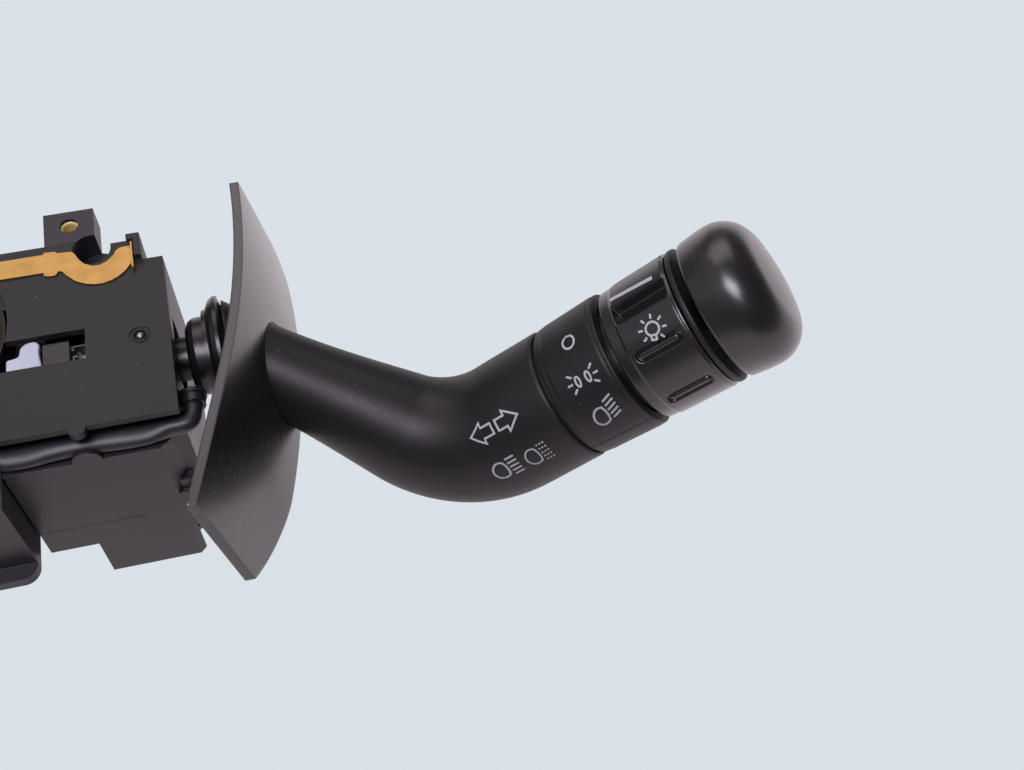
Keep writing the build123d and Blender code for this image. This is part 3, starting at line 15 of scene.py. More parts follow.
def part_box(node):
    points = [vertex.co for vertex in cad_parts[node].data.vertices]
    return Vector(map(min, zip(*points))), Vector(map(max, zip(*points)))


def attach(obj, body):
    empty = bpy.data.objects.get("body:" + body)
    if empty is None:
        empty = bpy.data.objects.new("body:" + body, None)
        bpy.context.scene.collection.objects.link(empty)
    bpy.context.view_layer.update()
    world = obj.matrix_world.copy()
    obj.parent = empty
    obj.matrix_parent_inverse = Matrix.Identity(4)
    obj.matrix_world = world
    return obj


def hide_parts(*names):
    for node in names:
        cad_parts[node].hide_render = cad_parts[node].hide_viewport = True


MM = 0.001
SAME_POINT = 1e-9

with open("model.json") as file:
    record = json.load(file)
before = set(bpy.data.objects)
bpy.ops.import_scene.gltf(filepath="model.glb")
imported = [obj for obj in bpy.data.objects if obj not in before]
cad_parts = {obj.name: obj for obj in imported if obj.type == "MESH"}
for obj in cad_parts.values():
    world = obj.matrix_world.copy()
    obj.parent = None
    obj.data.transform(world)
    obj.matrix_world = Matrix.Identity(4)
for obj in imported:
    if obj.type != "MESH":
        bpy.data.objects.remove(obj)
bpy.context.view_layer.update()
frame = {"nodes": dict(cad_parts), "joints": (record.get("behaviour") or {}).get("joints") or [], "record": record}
nodes = frame["nodes"]
joints = {joint["name"]: joint for joint in frame["joints"]}


def millimetres(point):
    """A point of the frame, which is in metres."""
    return np.array(point, float) / MM


# ---- where things are ----------------------------------------------------------------------------
PIVOT = millimetres(joints["beam_hinge"]["pos_m"])
GRIP_FOOT = millimetres(joints["knob_turn"]["pos_m"])
GRIP_AXIS = np.array(joints["knob_turn"]["axis"], float)
GRIP_AXIS /= np.linalg.norm(GRIP_AXIS)
GRIP_SIDE = np.array([-GRIP_AXIS[2], 0, GRIP_AXIS[0]])
GRIP_ACROSS = np.cross(GRIP_AXIS, GRIP_SIDE)

# stalk, from its root beside the pivot round one bend to the grip
STALK_ROOT = 19.5
ROOT_EXTRA = 9.0
ROOT_FACE = 19.0
ELBOW_TO_RING = 32.85
BEND_R = 27.7
STALK_ROOT_R = 10.15
STALK_END_R = 16.7
SWELL_FROM = 0.137
SWELL_TO = 0.865
STALK_WALL = 2.2
STALK_RIM = 0.35
SEAM_GAP = 0.03
SEAM_CHAMFER = 0.12
SEAM_TURN = math.radians(-28)

ROOT = PIVOT + np.array([STALK_ROOT, 0, 0])
ELBOW = GRIP_FOOT - GRIP_AXIS * ELBOW_TO_RING
INNER_AXIS = (ELBOW - ROOT) / np.linalg.norm(ELBOW - ROOT)
STALK_START = ROOT - INNER_AXIS * ROOT_EXTRA
BEND_NORMAL = np.cross(INNER_AXIS, GRIP_AXIS)
BEND_NORMAL /= np.linalg.norm(BEND_NORMAL)
BEND_SIDE = np.cross(BEND_NORMAL, INNER_AXIS)
BEND_ANGLE = math.acos(float(INNER_AXIS @ GRIP_AXIS))
TANGENT = BEND_R * math.tan(BEND_ANGLE / 2)
RUN_IN = float(np.linalg.norm(ELBOW - STALK_START)) - TANGENT
RUN_BEND = BEND_R * BEND_ANGLE
STALK_LENGTH = RUN_IN + RUN_BEND + ELBOW_TO_RING - TANGENT

# marking ring; the grip is measured along its axis from the stalk's end
RING_START = 0.9
RING_END = 17.4
RING_FLARE = 0.55
RING_WALL = 2.4
RING_EDGE = 0.6
RING_SKIN = 1.0
RING_BAND = 2.7
RING_BAND_END = 16.0
RING_STEP = 0.12
RING_SOFT = 0.15
RING_END_SOFT = 0.1
RING_WEB_START = 2.0
RING_WEB_END = 4.4
PARTING_DEG = 88.0
PARTING_W = 0.14
PARTING_D = 0.18

# knob, with its skirt, panel, pointer rib, scoops and pockets
SPINDLE_R = 9.0
RUN = 0.05
KNOB_START = 19.0
KNOB_END = 36.8
KNOB_R = 16.8
KNOB_FLARE = 0.4
KNOB_EDGE = 0.5
KNOB_SKIN = 0.9
KNOB_SPACING = 0.2
KNOB_FOOT = 0.4
SKIRT_GAP = 0.3
SKIRT_R = STALK_END_R - RING_WALL - SKIRT_GAP
SKIRT_WALL = 2.0
SKIRT_REACH = 2.0
PANEL_STEP = 0.3
PANEL_START = 21.9
PANEL_END = 36.1
PANEL_SOFT = 0.12
PANEL_LEAD = 0.1
PANEL_RUN = 0.9
RIB_DEG = -26.0
RIB_W = 8.6
RIB_H = 0.3
RIB_SLOPE = 0.5
SCOOP_W = 5.3
SCOOP_D = 2.7
SCOOP_IN = 0.4
SCOOP_OUT = 0.3
POCKET_COUNT = 6
POCKET_FIRST_DEG = 36.0
POCKET_PITCH_DEG = 45.0
POCKET_MIDDLE = 28.9
POCKET_L = 12.0
POCKET_W = 3.2
POCKET_D = 0.8
POCKET_IN = 0.45
POCKET_OUT = 0.1
RIDGE_W = 1.8
RIDGE_H = 0.1

# collar and push cap
COLLAR_GAP = 0.3
COLLAR_EDGE = 0.4
LIP_END = 38.5
LIP_RING_R = 17.1
CAP_START = 40.1
CAP_END = 56.5
CAP_R = 17.75
CAP_FLARE = 0.5
CAP_ROUND = 8.2
CAP_LIP = 1.0
CAP_DOME_R = 62.0
CAP_WALL = 2.0

# cable sheath along the front wall; the housing's tab presses on it about TAB_X
SHEATH_R = 2.2
SHEATH_SWELL = 1.3
SHEATH_SQUEEZE = 0.95
SHEATH_BACK = 0.25
SHEATH_FLAT = 0.12
SHEATH_WAVE = 0.08
SHEATH_RUMPLES = ((0.16, 3.1, 0.6), (0.12, 1.9, 0.0))
TAB_X = 39.4
TAB_REACH = 4.6

# pivot pin and threaded insert, measured down from their tops
PIN_HEAD_R = 1.05
PIN_HEAD_H = 1.0
PIN_HEAD_FOOT = 1.05
PIN_FLAT = 1.1
PIN_CHAMFER = 0.15
PIN_HAIR = 0.08
INSERT_BORE = 1.65
MOUTH_R = 2.25
THREAD_PITCH = 0.7
THREAD_D = 0.35
THREAD_START = 0.55
THREAD_SPARE = 1.2

# round recess beside the ear, earth strip, and the strip of painted shade along the joint under the housing's
# front wall
NOTCH_X = 45.3
NOTCH_Y = 17.6
NOTCH_R = 4.95
NOTCH_FLOOR = 16.42
NOTCH_FLOOR_T = 1.4
STRIP_W = 3.6
STRIP_T = 0.5
STRIP_EDGE = 0.08
STRIP_CUT_LEFT = 12.2
STRIP_CUT_RIGHT = 17.9
STRIP_END_Y = (8.6, 16.7)
JOINT_Z = (-14.1, -13.92)
JOINT_END_X = 46.0
JOINT_INSET = 0.4
JOINT_PROUD = 0.03
JOINT_DEPTH = 0.3

# printed marks: the ink, then the arrows, the lamps and their rays
MARK_T = 0.03
STROKE = 0.5
ARROW_GAP = 0.7
HALF_STEM = 1.35
HALF_WING = 2.65
LAMP_RX = 1.95
LAMP_RY = 2.3
RAY_START = 2.15
RAY_REACH = 2.5
RAY_TOP = 2.4
DASH_SHARE = 0.56

# finishes: colours, dust specks and clouds of gloss
WARM = (1.0, 0.90, 0.95)
BLACK = (0.0058, 0.0053, 0.0058)
DUST_GREY = (0.42, 0.42, 0.42)
DUST_SPACING = 3.2
DUST_SHARE = 0.045
CLOUD_SIZE = 14.0
CLOUD = 0.12

# room, in metres; colours of the floor as the camera and as glossy surfaces see it
FLOOR_HALF = 30.0
FLOOR_Z = -0.30
FLOOR_GLOW = 1.025
FLOOR_GLOW_SHARE = 0.95
BACKDROP = (0.701, 0.761, 0.807)
MIRRORED_BACKDROP = (0.80, 0.735, 0.775)
SKY_STRENGTH = 0.14
PART_MIDDLE = Vector((0.09, -0.02, 0.01))

# camera: its place, its three axes and its lens
CAMERA_PLACE = np.array([95.31, -194.73, 261.54])
CAMERA_RIGHT = np.array([0.9726, -0.2316, 0.0221])
CAMERA_UP = np.array([0.1816, 0.815, 0.5503])
CAMERA_BACK = np.array([-0.1455, -0.5312, 0.8347])
CAMERA_LENS = 43.6


# ---- mesh making ---------------------------------------------------------------------------------
def make_object(name, points, faces, body, material, smooth=True):
    """A mesh object from points in millimetres; its faces are turned outwards by its volume.

    Triangles and quads are shaded smooth. A cap, which has more corners, stays flat.
    """
    points = np.asarray(points, float).reshape(-1, 3) * MM
    mesh = bpy.data.meshes.new(name)
    mesh.from_pydata(points.tolist(), [], faces)
    mesh.validate()
    if smooth:
        mesh.shade_smooth()
        corner_counts = np.empty(len(mesh.polygons), np.int32)
        mesh.polygons.foreach_get("loop_total", corner_counts)
        mesh.polygons.foreach_set("use_smooth", corner_counts <= 4)
    mesh.calc_loop_triangles()
    corners = np.empty(len(mesh.loop_triangles) * 3, np.int32)
    mesh.loop_triangles.foreach_get("vertices", corners)
    a, b, c = (points[corners.reshape(-1, 3)[:, k]] for k in range(3))
    if np.einsum("ij,ij->i", a, np.cross(b, c)).sum() < 0:
        mesh.flip_normals()
    piece = bpy.data.objects.new(name, mesh)
    bpy.context.scene.collection.objects.link(piece)
    piece.data.materials.append(material)
    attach(piece, body)
    return piece


def grid_faces(rows, columns, close_rows=False, first=0):
    """Quads over a rows by columns grid of points numbered row by row; each row is a closed ring."""
    last_row = rows if close_rows else rows - 1
    row, column = np.meshgrid(np.arange(last_row), np.arange(columns), indexing="ij")
    near, far = row * columns, (row + 1) % rows * columns
    beside = (column + 1) % columns
    quads = np.stack([near + column, near + beside, far + beside, far + column], -1)
    return (quads.reshape(-1, 4) + first).tolist()


def grid_object(name, grid, body, slot_name, close_rows=False):
    """A tube from a grid whose rows are closed rings; a tube with open ends gets flat caps."""
    rows, columns = grid.shape[:2]
    faces = grid_faces(rows, columns, close_rows)
    if not close_rows:
        faces.append(list(range(columns))[::-1])
        faces.append(list(range((rows - 1) * columns, rows * columns)))
    return make_object(name, grid, faces, body, materials[slot_name])


def rounded(corners, radius, steps=5):
    """A closed profile through the corners, each cut by an arc-like run of points.

    Between two points beside a corner the run follows the quadratic curve that the corner steers.
    """
    corners = np.asarray(corners, float)
    before = np.roll(corners, 1, 0) - corners
    after = np.roll(corners, -1, 0) - corners
    reach_in = np.linalg.norm(before, axis=1, keepdims=True)
    reach_out = np.linalg.norm(after, axis=1, keepdims=True)
    cut = np.minimum(radius, 0.45 * np.minimum(reach_in, reach_out))
    start = corners + before / reach_in * cut
    end = corners + after / reach_out * cut
    u = np.linspace(0, 1, steps)[None, :, None]
    curve = (1 - u) ** 2 * start[:, None] + 2 * u * (1 - u) * corners[:, None] + u**2 * end[:, None]
    return curve.reshape(-1, corners.shape[1])


def resampled(profile, spacing):
    """More points on a closed profile, so that no step along it is longer than the spacing.

    Each step is cut into as few equal shares as will do, and a step of no length is left out.
    """
    ahead = np.roll(profile, -1, 0) - profile
    steps = np.linalg.norm(ahead, axis=1)
    counts = np.where(steps > SAME_POINT, np.ceil(steps / spacing), 0).astype(int)
    which = np.repeat(np.arange(len(steps)), counts)
    rank = np.arange(len(which)) - np.repeat(np.cumsum(counts) - counts, counts)
    return profile[which] + ahead[which] * (rank / counts[which])[:, None]


def on_grip(height, angle, radius):
    """The point at a height along the grip's axis, an angle about it and a distance from it."""
    height, angle, radius = np.broadcast_arrays(height, angle, radius)
    return (
        GRIP_FOOT
        + height[..., None] * GRIP_AXIS
        + (radius * np.cos(angle))[..., None] * GRIP_SIDE
        + (radius * np.sin(angle))[..., None] * GRIP_ACROSS
    )


def turned_on_grip(name, profile, around, body, slot_name, relief=None):
    """A closed (radius, height) profile carried round the grip's axis.

    relief(angle, height, radius) is added to the radius; it is 0 away from the outer wall.
    """
    angle = np.linspace(0, 2 * math.pi, around, endpoint=False)[None, :]
    radius, height = profile[:, :1], profile[:, 1:]
    if relief is not None:
        radius = radius + relief(angle, height, radius)
    return grid_object(name, on_grip(height, angle, radius), body, slot_name, close_rows=True)


def smooth_step(value, low, high):
    """0 below low and 1 above high; between them 3 s^2 - 2 s^3 of the share s of the way."""
    share = np.clip((value - low) / (high - low), 0, 1)
    return share * share * (3 - 2 * share)


# ---- materials -----------------------------------------------------------------------------------
class Shade:
    """One value socket of a material: arithmetic on it adds the Math nodes."""

    def __init__(self, finish, socket):
        self.finish = finish
        self.socket = socket

    def _maths(self, operation, first, second):
        return self.finish.add("ShaderNodeMath", {"operation": operation}, {0: first, 1: second}).out()

    def __add__(self, other):
        return self._maths("ADD", self, other)

    __radd__ = __add__

    def __mul__(self, other):
        return self._maths("MULTIPLY", self, other)

    __rmul__ = __mul__

    def __sub__(self, other):
        return self._maths("SUBTRACT", self, other)

    def __rsub__(self, other):
        return self._maths("SUBTRACT", other, self)

    def above(self, level, soft=0.02):
        """0 below the level and 1 over it, with a soft edge."""
        settings = {"interpolation_type": "SMOOTHSTEP"}
        values = {"Value": self, "From Min": level - soft, "From Max": level + soft}
        return self.finish.add("ShaderNodeMapRange", settings, values).out("Result")


class Step:
    """A node that was just added, with its outputs by name or number."""

    def __init__(self, finish, node):
        self.finish = finish
        self.node = node

    def out(self, name=0):
        return Shade(self.finish, self.node.outputs[name])


class Finish:
    """A material under construction, with one Principled shader."""

    def __init__(self, name, colour, roughness, metallic=0.0):
        self.material = bpy.data.materials.new(name)
        self.material.use_nodes = True
        self.material.diffuse_color = (*colour, 1.0)
        self.tree = self.material.node_tree
        self.shader = self.tree.nodes["Principled BSDF"]
        self.shader.inputs["Base Color"].default_value = (*colour, 1.0)
        self.shader.inputs["Roughness"].default_value = roughness
        self.shader.inputs["Metallic"].default_value = metallic

    def add(self, kind, settings=None, values=None):
        """A node of any kind: its settings go in first, then the values or links of its sockets."""
        node = self.tree.nodes.new(kind)
        for key, value in (settings or {}).items():
            setattr(node, key, value)
        for key, value in (values or {}).items():
            socket = node.inputs[key]
            if isinstance(value, Shade):
                self.tree.links.new(value.socket, socket)
            else:
                socket.default_value = value
        return Step(self, node)

    def place(self):
        """Object coordinates in millimetres."""
        where = self.add("ShaderNodeTexCoord").out("Object")
        scale = {0: where, 1: (1 / MM, 1 / MM, 1 / MM)}
        return self.add("ShaderNodeVectorMath", {"operation": "MULTIPLY"}, scale).out()

    def noise(self, size, detail=2.0, where=None):
        """Soft noise with features of about the size given in millimetres."""
        values = {"Vector": where or self.place(), "Scale": 1 / size, "Detail": detail}
        return self.add("ShaderNodeTexNoise", {"noise_dimensions": "3D"}, values).out("Fac")

    def specks(self, spacing, share):
        """Small dots, about share of the spacing across, one to each cell and most of them left out."""
        cells = {"Vector": self.place(), "Scale": 1 / spacing}
        node = self.add("ShaderNodeTexVoronoi", {"feature": "F1"}, cells)
        chance = self.add("ShaderNodeSeparateColor", {}, {0: node.out("Color")}).out(0)
        return (share - node.out("Distance")).above(0.0, share * 0.3) * chance.above(0.62)

    def tint(self, mask, colour):
        """Lays a colour over the base colour where the mask is 1."""
        base = self.shader.inputs["Base Color"]
        under = Shade(self, base.links[0].from_socket) if base.links else (*base.default_value[:3], 1.0)
        mix = self.add("ShaderNodeMix", {"data_type": "RGBA"}, {"Factor": mask, 6: under, 7: (*colour, 1.0)})
        self.tree.links.new(mix.node.outputs[2], base)

    def put(self, name, value):
        self.tree.links.new(value.socket, self.shader.inputs[name])

    def relief(self, height, depth, strength=1.0):
        """Bump of a real depth in millimetres, laid on what bends the light there already."""
        normal = self.shader.inputs["Normal"]
        values = {"Height": height, "Distance": depth * MM, "Strength": strength}
        if normal.links:
            values["Normal"] = Shade(self, normal.links[0].from_socket)
        bump = self.add("ShaderNodeBump", {}, values)
        self.tree.links.new(bump.node.outputs[0], normal)

    def gloss(self, weight, roughness, tint):
        """A thin clear skin over the plastic, and the colour of its glancing reflections."""
        self.shader.inputs["Coat Weight"].default_value = weight
        self.shader.inputs["Coat Roughness"].default_value = roughness
        self.shader.inputs["Specular Tint"].default_value = (*tint, 1.0)

    def soft_edges(self, radius):
        """Edges that catch the light as if rounded by the radius in millimetres."""
        bevel = self.add("ShaderNodeBevel", {"samples": 6}, {"Radius": radius * MM})
        self.tree.links.new(bevel.node.outputs[0], self.shader.inputs["Normal"])


def moulded(name, colour, roughness, grain=0.35, depth=0.02, dust=0.0, edge=0.25, gloss=0.0):
    """Moulded plastic: a fine spark-eroded grain, faint clouds of gloss and a little dust."""
    finish = Finish(name, colour, roughness)
    finish.gloss(gloss, roughness * 0.75, WARM)
    finish.soft_edges(edge)
    clouds = finish.noise(CLOUD_SIZE, 3.0)
    fine = finish.noise(grain)
    finish.put("Roughness", roughness - CLOUD / 2 + CLOUD * clouds + (fine - 0.5) * 0.10)
    finish.tint(clouds.above(0.5, 0.3) * 0.5, tuple(c * 1.25 + 0.003 for c in colour))
    finish.relief(fine, depth)
    if dust:
        finish.tint(finish.specks(DUST_SPACING, DUST_SHARE) * dust, DUST_GREY)
    return finish.material


def metal(name, colour, roughness, bright=1.0):
    """Worked metal: fine drawn lines, small stains and softened edges."""
    finish = Finish(name, colour, roughness, bright)
    finish.soft_edges(0.12)
    stretch = {0: finish.place(), 1: (0.35, 5.0, 3.0)}
    stretched = finish.add("ShaderNodeVectorMath", {"operation": "MULTIPLY"}, stretch).out()
    lines = finish.noise(1.0, 3.0, stretched)
    stains = finish.noise(4.0, 4.0)
    finish.put("Roughness", roughness - 0.08 + 0.18 * lines + 0.10 * stains)
    finish.tint(stains.above(0.55, 0.12) * 0.35, tuple(c * 0.72 for c in colour))
    finish.relief(lines, 0.01, 0.35)
    return finish.material


def cable_skin(name):
    """Soft glossy sheath with shallow dents."""
    colour = (0.016, 0.015, 0.018)
    finish = Finish(name, colour, 0.45)
    finish.gloss(0.6, 0.4, (0.96, 0.90, 1.0))
    dents = finish.noise(5.0)
    fine = finish.noise(0.5)
    finish.put("Roughness", 0.38 + 0.16 * dents + 0.05 * fine)
    finish.tint(dents.above(0.5, 0.2) * 0.4, (0.024, 0.023, 0.027))
    finish.relief(dents, 0.2, 0.5)
    finish.relief(fine, 0.02)
    return finish.material


def ink(name):
    """Pad-printed white marking ink, slightly worn."""
    finish = Finish(name, (0.58, 0.58, 0.60), 0.5)
    worn = finish.noise(0.6)
    finish.tint(worn.above(0.60, 0.15) * 0.35, (0.34, 0.33, 0.33))
    finish.relief(worn, 0.01)
    return finish.material


PLASTICS = {
    "housing_plastic": dict(colour=(0.021, 0.0190, 0.0245), roughness=0.38, grain=0.45, dust=0.3),
    "cover_plastic": dict(colour=(0.019, 0.020, 0.018), roughness=0.5, grain=0.5, dust=0.5),
    "shell_plastic": dict(colour=(0.024, 0.0215, 0.028), roughness=0.38, grain=0.45, dust=0.3),
    "slide_plastic": dict(colour=(0.55, 0.60, 0.70), roughness=0.38, grain=0.6, depth=0.01),
    "slider_plastic": dict(colour=(0.018, 0.019, 0.015), roughness=0.3, grain=0.8, depth=0.01),
    "cam_plastic": dict(colour=(0.010, 0.010, 0.010), roughness=0.42),
    "lever_plastic": dict(colour=BLACK, roughness=0.34, grain=0.5, dust=0.2, gloss=0.3),
    "stalk_plastic": dict(
        colour=BLACK, roughness=0.50, grain=0.42, depth=0.03, dust=0.5, edge=0.12, gloss=0.12
    ),
    "spacer_plastic": dict(colour=(0.004, 0.004, 0.0045), roughness=0.55),
    "shield_plastic": dict(
        colour=(0.016, 0.0135, 0.0145), roughness=0.27, grain=0.6, dust=0.8, edge=0.8, gloss=0.9
    ),
    "knob_plastic": dict(
        colour=BLACK, roughness=0.36, grain=0.38, depth=0.03, dust=0.35, edge=0.12, gloss=1.0
    ),
    "rotor_plastic": dict(colour=(0.26, 0.22, 0.16), roughness=0.5),
    "gland_plastic": dict(colour=(0.012, 0.012, 0.013), roughness=0.35),
}
METALS = {
    "spring_bronze": dict(colour=(0.70, 0.41, 0.13), roughness=0.42),
    "insert_brass": dict(colour=(1.0, 0.80, 0.40), roughness=0.4, bright=0.1),
    "pin_steel": dict(colour=(0.42, 0.42, 0.47), roughness=0.32),
    "screw_steel": dict(colour=(0.50, 0.50, 0.51), roughness=0.34),
    "band_steel": dict(colour=(0.46, 0.47, 0.48), roughness=0.36),
    "terminal_tin": dict(colour=(0.70, 0.70, 0.68), roughness=0.3),
    "contact_brass": dict(colour=(0.72, 0.52, 0.24), roughness=0.3),
    # brass darkened far below its own colour: painted shade for the slip ring down in the cover's hole
    "shade_darkened_brass": dict(colour=(0.045, 0.036, 0.024), roughness=0.35),
    "spring_steel": dict(colour=(0.20, 0.20, 0.20), roughness=0.34),
}
materials = {name: moulded(name, **look) for name, look in PLASTICS.items()}
materials |= {name: metal(name, **look) for name, look in METALS.items()}
materials["sheath_rubber"] = cable_skin("sheath_rubber")
INK = ink("marking_ink")

for entry in frame["record"]["subparts"]:
    shown = nodes[entry["node"]]
    shown.data.materials.clear()
    shown.data.materials.append(materials[entry["material_slot"]])
nodes["pawl_slider"].data.materials[0] = materials["slider_plastic"]
# the slip ring gets the darkened brass; its darkness is painted shade in the cover's hole
nodes["slip_ring"].data.materials[0] = materials["shade_darkened_brass"]


# ---- stalk ---------------------------------------------------------------------------------------
def stalk_line(length):
    """Centre and direction at lengths along the stalk: a straight run, an arc and a straight run."""
    length = np.asarray(length, float)
    turn = np.clip((length - RUN_IN) / BEND_R, 0, BEND_ANGLE)
    direction = np.cos(turn)[..., None] * INNER_AXIS + np.sin(turn)[..., None] * BEND_SIDE
    inward = np.cos(turn)[..., None] * BEND_SIDE - np.sin(turn)[..., None] * INNER_AXIS
    bend_centre = ELBOW - INNER_AXIS * TANGENT + BEND_SIDE * BEND_R
    beyond = np.where(length < RUN_IN, length - RUN_IN, np.maximum(length - RUN_IN - RUN_BEND, 0))
    return bend_centre - inward * BEND_R + beyond[..., None] * direction, direction


def stalk_radius(length):
    """Outer radius: slim, a smooth swell between two shares of the length, then full."""
    share = np.asarray(length, float) / STALK_LENGTH
    return STALK_ROOT_R + (STALK_END_R - STALK_ROOT_R) * smooth_step(share, SWELL_FROM, SWELL_TO)


def on_stalk(length, angle, inset):
    """The point at a length, at an angle from the bend's normal, inset from the outside."""
    centre, direction = stalk_line(length)
    side = np.cross(direction, BEND_NORMAL)
    radius = (stalk_radius(length) - inset)[..., None]
    return centre + radius * (np.cos(angle)[..., None] * BEND_NORMAL + np.sin(angle)[..., None] * side)


def stalk_shell(name, middle, node):
    """Half of the stalk: a half-ring section, chamfered along the parting line, on the stalk's line.

    Each point's run starts on the flat root face, found by a few corrections along the line, and the
    outer wall is drawn in over the last stretch to round its rim.
    """
    outer_count, inner_count, rows = 73, 25, 150
    half = math.pi / 2
    gap = SEAM_GAP / 2 / STALK_END_R
    chamfer = SEAM_CHAMFER / STALK_END_R
    arc = np.linspace(-half + gap + chamfer, half - gap - chamfer, outer_count)
    inner = np.linspace(half - gap, -half + gap, inner_count)
    angle = middle + np.concatenate([[-half + gap], arc, [half - gap], inner])
    runs = [SEAM_CHAMFER], np.zeros(outer_count), [SEAM_CHAMFER], np.full(inner_count, STALK_WALL)
    inset = np.concatenate(runs)
    start = np.full(len(angle), ROOT_EXTRA)
    for _ in range(6):
        short = PIVOT[0] + ROOT_FACE - on_stalk(start, angle, inset)[:, 0]
        start = start + short / INNER_AXIS[0]
    share = np.linspace(0, 1, rows)[:, None]
    length = start + (STALK_LENGTH - start) * share
    rim = STALK_RIM * smooth_step(length, STALK_LENGTH - STALK_RIM, STALK_LENGTH) ** 2
    grid = on_stalk(length, angle, inset + np.where(inset < STALK_WALL, rim, 0))
    piece = grid_object(name, grid, "lever", "stalk_plastic")
    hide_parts(node)


stalk_shell("stalk_front", SEAM_TURN, "stalk_front_shell")
stalk_shell("stalk_rear", SEAM_TURN + math.pi, "stalk_rear_shell")


# ---- grip ----------------------------------------------------------------------------------------
def ring_surface(height):
    """Radius of the marking ring, which widens evenly towards the knob."""
    return STALK_END_R + RING_FLARE * (height - RING_START) / (RING_END - RING_START)


def knob_surface(height):
    """Radius of the knob's panel, which widens evenly towards the cap."""
    return KNOB_R + KNOB_FLARE * (height - KNOB_START) / (KNOB_END - KNOB_START)


def rib_surface(height):
    """Radius of the pointer rib's top."""
    return knob_surface(height) + RIB_H


def ring_relief(angle, height, radius):
    """The marking ring's wall: its flare, two narrow parting grooves and a low band at each end.

    Across a groove the depth is a bell curve, exp(-(distance / width)^2).
    """
    away = np.abs(np.sin(angle - math.radians(PARTING_DEG))) * STALK_END_R
    groove = -PARTING_D * np.exp(-((away / PARTING_W) ** 2))
    raised = smooth_step(height, RING_BAND - RING_SOFT, RING_BAND + RING_SOFT)
    raised = raised * (1 - smooth_step(height, RING_BAND_END - RING_END_SOFT, RING_BAND_END + RING_END_SOFT))
    flare = ring_surface(height) - STALK_END_R
    return (flare + groove + RING_STEP * (raised - 1)) * (radius > STALK_END_R - RING_SKIN)


def marking_ring():
    """The ring with the printed marks, and the web that holds it on the spindle."""
    inner = STALK_END_R - RING_WALL
    corners = [
        (inner, RING_START),
        (STALK_END_R, RING_START),
        (STALK_END_R, RING_END),
        (inner, RING_END),
        (inner, RING_START + RING_WEB_END),
        (SPINDLE_R + RUN, RING_START + RING_WEB_END),
        (SPINDLE_R + RUN, RING_START + RING_WEB_START),
        (inner, RING_START + RING_WEB_START),
    ]
    profile = resampled(rounded(corners, RING_EDGE, 9), 0.25)
    piece = turned_on_grip("marking_ring_skin", profile, 360, "lever", "stalk_plastic", ring_relief)
    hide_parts("marking_ring")


def knob_relief(angle, height, radius):
    """Height of the knob's outer wall over its round: flare, panel, pointer rib, scoops and pockets.

    The two end bands lie a step below the panel. On each side of the rib a scoop starts deep at the
    rib's wall and rises as a parabola. A pocket is a slot with round ends, and the ridge inside it is
    half an ellipse across.
    """
    rib_turn = angle - math.radians(RIB_DEG)
    across = np.abs(KNOB_R * np.arctan2(np.sin(rib_turn), np.cos(rib_turn)))
    panel = smooth_step(height, PANEL_START - PANEL_SOFT, PANEL_START + PANEL_SOFT)
    panel = panel * (1 - smooth_step(height, PANEL_END - PANEL_SOFT, PANEL_END + PANEL_SOFT))
    on_panel = smooth_step(height, PANEL_START - PANEL_LEAD, PANEL_START + PANEL_RUN)
    lift = RIB_H * (1 - smooth_step(across, RIB_W / 2 - RIB_SLOPE, RIB_W / 2)) * on_panel
    scoop_reach = np.clip((across - RIB_W / 2) / SCOOP_W, 0, 1)
    scoop = SCOOP_D * (1 - scoop_reach**2)
    scoop = scoop * smooth_step(across, RIB_W / 2 - SCOOP_IN, RIB_W / 2 + SCOOP_OUT)
    scoop = scoop * on_panel * (1 - smooth_step(height, PANEL_END - PANEL_RUN, PANEL_END))
    pitch = math.radians(POCKET_PITCH_DEG)
    turn = (angle - math.radians(POCKET_FIRST_DEG) + pitch / 2) % (2 * math.pi)
    number = np.floor(turn / pitch)
    beside = (turn - (number + 0.5) * pitch) * KNOB_R
    along = np.maximum(np.abs(height - POCKET_MIDDLE) - (POCKET_L - POCKET_W) / 2, 0)
    from_axis = np.hypot(beside, along)
    pocket = POCKET_D * (1 - smooth_step(from_axis, POCKET_W / 2 - POCKET_IN, POCKET_W / 2 + POCKET_OUT))
    ridge_reach = np.clip(1 - (from_axis / (RIDGE_W / 2)) ** 2, 0, 1)
    ridge = (POCKET_D + RIDGE_H) * np.sqrt(ridge_reach)
    wall = (radius > KNOB_R - KNOB_SKIN) & (height > KNOB_START - 0.01)
    step = knob_surface(height) - KNOB_R + PANEL_STEP * (panel - 1)
    return np.where(wall, step + lift - scoop + np.where(number < POCKET_COUNT, ridge - pocket, 0), 0)


def light_knob():
    """The turning knob: its gripped wall, and a skirt that reaches under the marking ring."""
    corners = [
        (SPINDLE_R + RUN, KNOB_END),
        (SPINDLE_R + RUN, KNOB_START - KNOB_FOOT),
        (SKIRT_R - SKIRT_WALL, KNOB_START - KNOB_FOOT),
        (SKIRT_R - SKIRT_WALL, RING_END - SKIRT_REACH),
        (SKIRT_R, RING_END - SKIRT_REACH),
        (SKIRT_R, KNOB_START),
        (KNOB_R, KNOB_START),
        (KNOB_R, KNOB_END),
    ]
    profile = resampled(rounded(corners, KNOB_EDGE), KNOB_SPACING)
    piece = turned_on_grip("light_knob_skin", profile, 600, "knob", "knob_plastic", knob_relief)
    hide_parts("light_knob")


def end_collar():
    """The fixed collar between the knob and the cap."""
    start = KNOB_END + COLLAR_GAP
    corners = [(SPINDLE_R, start), (LIP_RING_R, start), (LIP_RING_R, LIP_END), (SPINDLE_R, LIP_END)]
    profile = resampled(rounded(corners, COLLAR_EDGE), 1.2)
    piece = turned_on_grip("end_collar_skin", profile, 240, "lever", "stalk_plastic")
    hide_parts("end_collar")


